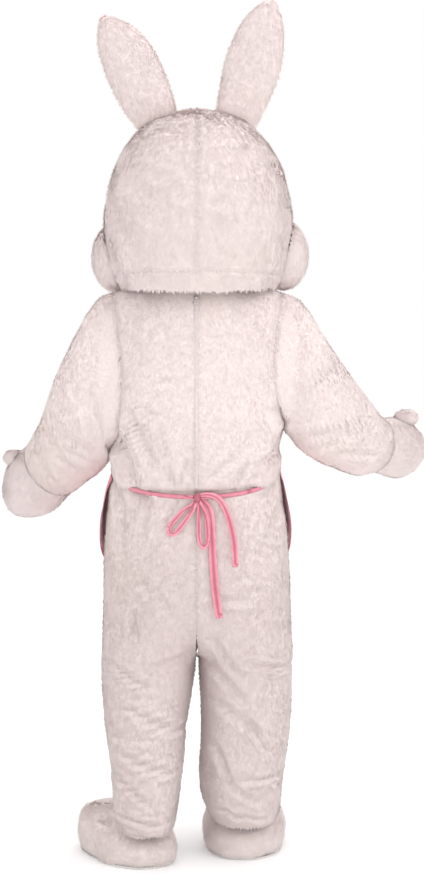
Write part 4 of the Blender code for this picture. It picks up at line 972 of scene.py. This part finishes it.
def satin_pieces(finishes):
    """The apron, its edging, ties and bow: folded, stitched and slightly uneven satin."""
    for number, ribbon in enumerate(RIBBONS):
        piece = copy_of(ribbon.node, f"{ribbon.node}_satin")
        refine(piece, 1)
        points = points_of(piece.data)
        across = across_band(points, ribbon.half)
        corners = np.array([tuple(t.vertices) for t in triangles_of(piece.data)])
        normals, _ = normals_of(corners, points)
        middle = np.exp(-((across - 0.5) / 0.15) ** 2)
        uneven = 0.0003 * ripple(points, 0.012, 60 + number)
        set_points(piece.data, points - normals * (ribbon.groove * middle + uneven)[:, None])
        mark = piece.data.attributes.new("across", "FLOAT", "POINT")
        mark.data.foreach_set("value", across.astype(np.float32))
        piece.data.shade_smooth()
        dress(piece, finishes["satin"], finishes["satin"], finishes["satin"])
        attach(piece, "root")
        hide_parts(ribbon.node)

    piece = copy_of("apron_panel", "apron_panel_satin", APRON_WALL)
    refine(piece, 2)
    points = points_of(piece.data)
    away = units(points * np.array((1.0, 1.0, 0.0)))
    turn = np.arctan2(points[:, 0], points[:, 1])
    drop = np.clip((APRON_TOP_Z - points[:, 2]) / APRON_DROP, 0, 1)
    flutes = 0.5 + 0.5 * np.sin(turn * APRON_FLUTES + 0.9 * np.sin(turn * 5) + 3.0 * drop)
    held = np.clip((1.45 - np.abs(turn)) / 0.15, 0, 1)
    out = APRON_GATHER * flutes * held * (0.25 + 0.75 * drop) * (1 - np.clip((drop - 0.90) / 0.10, 0, 1))
    set_points(piece.data, points + away * (out + 0.0004 * ripple(points, 0.03, 90))[:, None])
    mark = piece.data.attributes.new("across", "FLOAT", "POINT")
    mark.data.foreach_set("value", np.zeros(len(points), np.float32))
    piece.data.shade_smooth()
    # The apron's inside gets a lighter copy of the satin: painted light against the shade it lies in
    dress(piece, finishes["satin"], finishes["satin back painted light"], finishes["satin"])
    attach(piece, "root")
    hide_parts("apron_panel")


def zip_teeth(finish):
    """The zip's two rows of teeth, meshed below the slider."""
    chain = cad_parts["zip_chain"]
    points = np.array([chain.matrix_world @ vertex.co for vertex in chain.data.vertices])
    levels = np.unique(np.round(points[:, 2], 2))
    rings = [points[np.abs(points[:, 2] - level) < 0.006].mean(axis=0) for level in levels]
    ring_z, ring_y = np.array(rings)[:, 2], np.array(rings)[:, 1]
    bpy.ops.object.select_all(action="DESELECT")
    bpy.ops.mesh.primitive_cube_add(size=2.0, location=(0.0, 0.0, 0.0))
    teeth = bpy.context.object
    teeth.name = "zip_teeth"
    bpy.ops.object.mode_set(mode="EDIT")
    bpy.ops.mesh.delete(type="VERT")
    rows = int((ZIP_HEAD_Z - ZIP_FOOT_Z) / TOOTH_PITCH)
    for row in range(rows):
        for side in (-1, 1):
            z = ZIP_FOOT_Z + (row + (0.5 if side > 0 else 0.0)) * TOOTH_PITCH
            low, high = np.interp((z - TOOTH_TILT_OVER, z + TOOTH_TILT_OVER), ring_z, ring_y)
            turn = -math.atan((high - low) / (2 * TOOTH_TILT_OVER))
            bpy.ops.mesh.primitive_cube_add(
                size=2.0,
                location=(side * TOOTH_ASIDE, (low + high) / 2 - TOOTH_PROUD, z),
                rotation=(turn, 0.0, 0.0),
                scale=TOOTH_HALF,
            )
    bpy.ops.object.mode_set(mode="OBJECT")
    teeth.data.materials.append(finish)
    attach(teeth, "root")


def paint(node, finish):
    """A carried-over solid's finish."""
    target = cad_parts[node]
    target.data.materials.clear()
    target.data.materials.append(finish)


def main():
    """Makes the finishes, dresses every piece and prints how many blades of pile there are."""
    finishes = {
        "plush": plush_material("plush", PLUSH_LIGHT, PLUSH_DEEP, WARM),
        # Suit plush and suit pile are darkened towards the floor with painted shade
        "suit plush": plush_material("suit plush", PLUSH_LIGHT, PLUSH_DEEP, WARM, PAINTED_FLOOR_SHADE),
        # Each pile's first colour is the painted shade at its blades' roots, the second its tips
        "boot pile": pile_material("boot pile", (0.83, 0.735, 0.722), (0.87, 0.78, 0.77), WARM),
        "suit pile": pile_material("suit pile", (0.855, 0.748, 0.735), (0.893, 0.793, 0.787), WARM, PAINTED_FLOOR_SHADE),
        "head pile": pile_material("head pile", (0.868, 0.763, 0.75), (0.902, 0.803, 0.793), HEAD_WARM),
        "pink plush": plush_material("pink plush", (0.86, 0.50, 0.55), (0.80, 0.42, 0.48), PINK_WARM),
        "pink pile": pile_material("pink pile", (0.72, 0.36, 0.42), (0.90, 0.58, 0.62), PINK_WARM),
        "backing": lining_material(),
        "satin": satin_material("satin", (0.90, 0.36, 0.44), (0.84, 0.29, 0.38)),
        "metal": metal_material("zip metal", (0.84, 0.79, 0.78), (0.72, 0.67, 0.66)),
        "tape": plain_material("zip tape", (0.76, 0.67, 0.66), (0.68, 0.60, 0.59), 0.8, 900.0),
        # A lighter copy of the satin, painted light for the apron's inside, which lies in shade
        "satin back painted light": satin_material("satin back painted light", (0.96, 0.58, 0.65), (0.92, 0.52, 0.60)),
        "sole": plain_material("sole", (0.74, 0.71, 0.69), (0.66, 0.63, 0.61), 0.75, 120.0, 0.0006),
        "eye": plain_material("eye", (0.025, 0.022, 0.022), (0.015, 0.013, 0.013), 0.12, 30.0, 0.0, 0.6),
        "felt": plain_material("nose felt", (0.80, 0.33, 0.38), (0.70, 0.26, 0.31), 0.8, 500.0, 0.0004),
    }
    blades = plush_panels(finishes) + stuffed_pieces(finishes)
    print("blades", blades)
    satin_pieces(finishes)
    zip_teeth(finishes["metal"])
    for node, kind in PAINTED:
        paint(node, finishes[kind])


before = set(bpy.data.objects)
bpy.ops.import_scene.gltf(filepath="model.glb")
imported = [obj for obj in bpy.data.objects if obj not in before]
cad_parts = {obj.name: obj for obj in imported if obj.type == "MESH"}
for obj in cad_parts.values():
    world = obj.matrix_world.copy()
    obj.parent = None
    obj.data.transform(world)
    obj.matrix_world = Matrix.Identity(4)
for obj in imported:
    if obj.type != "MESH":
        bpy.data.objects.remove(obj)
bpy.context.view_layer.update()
camera_and_light()
main()
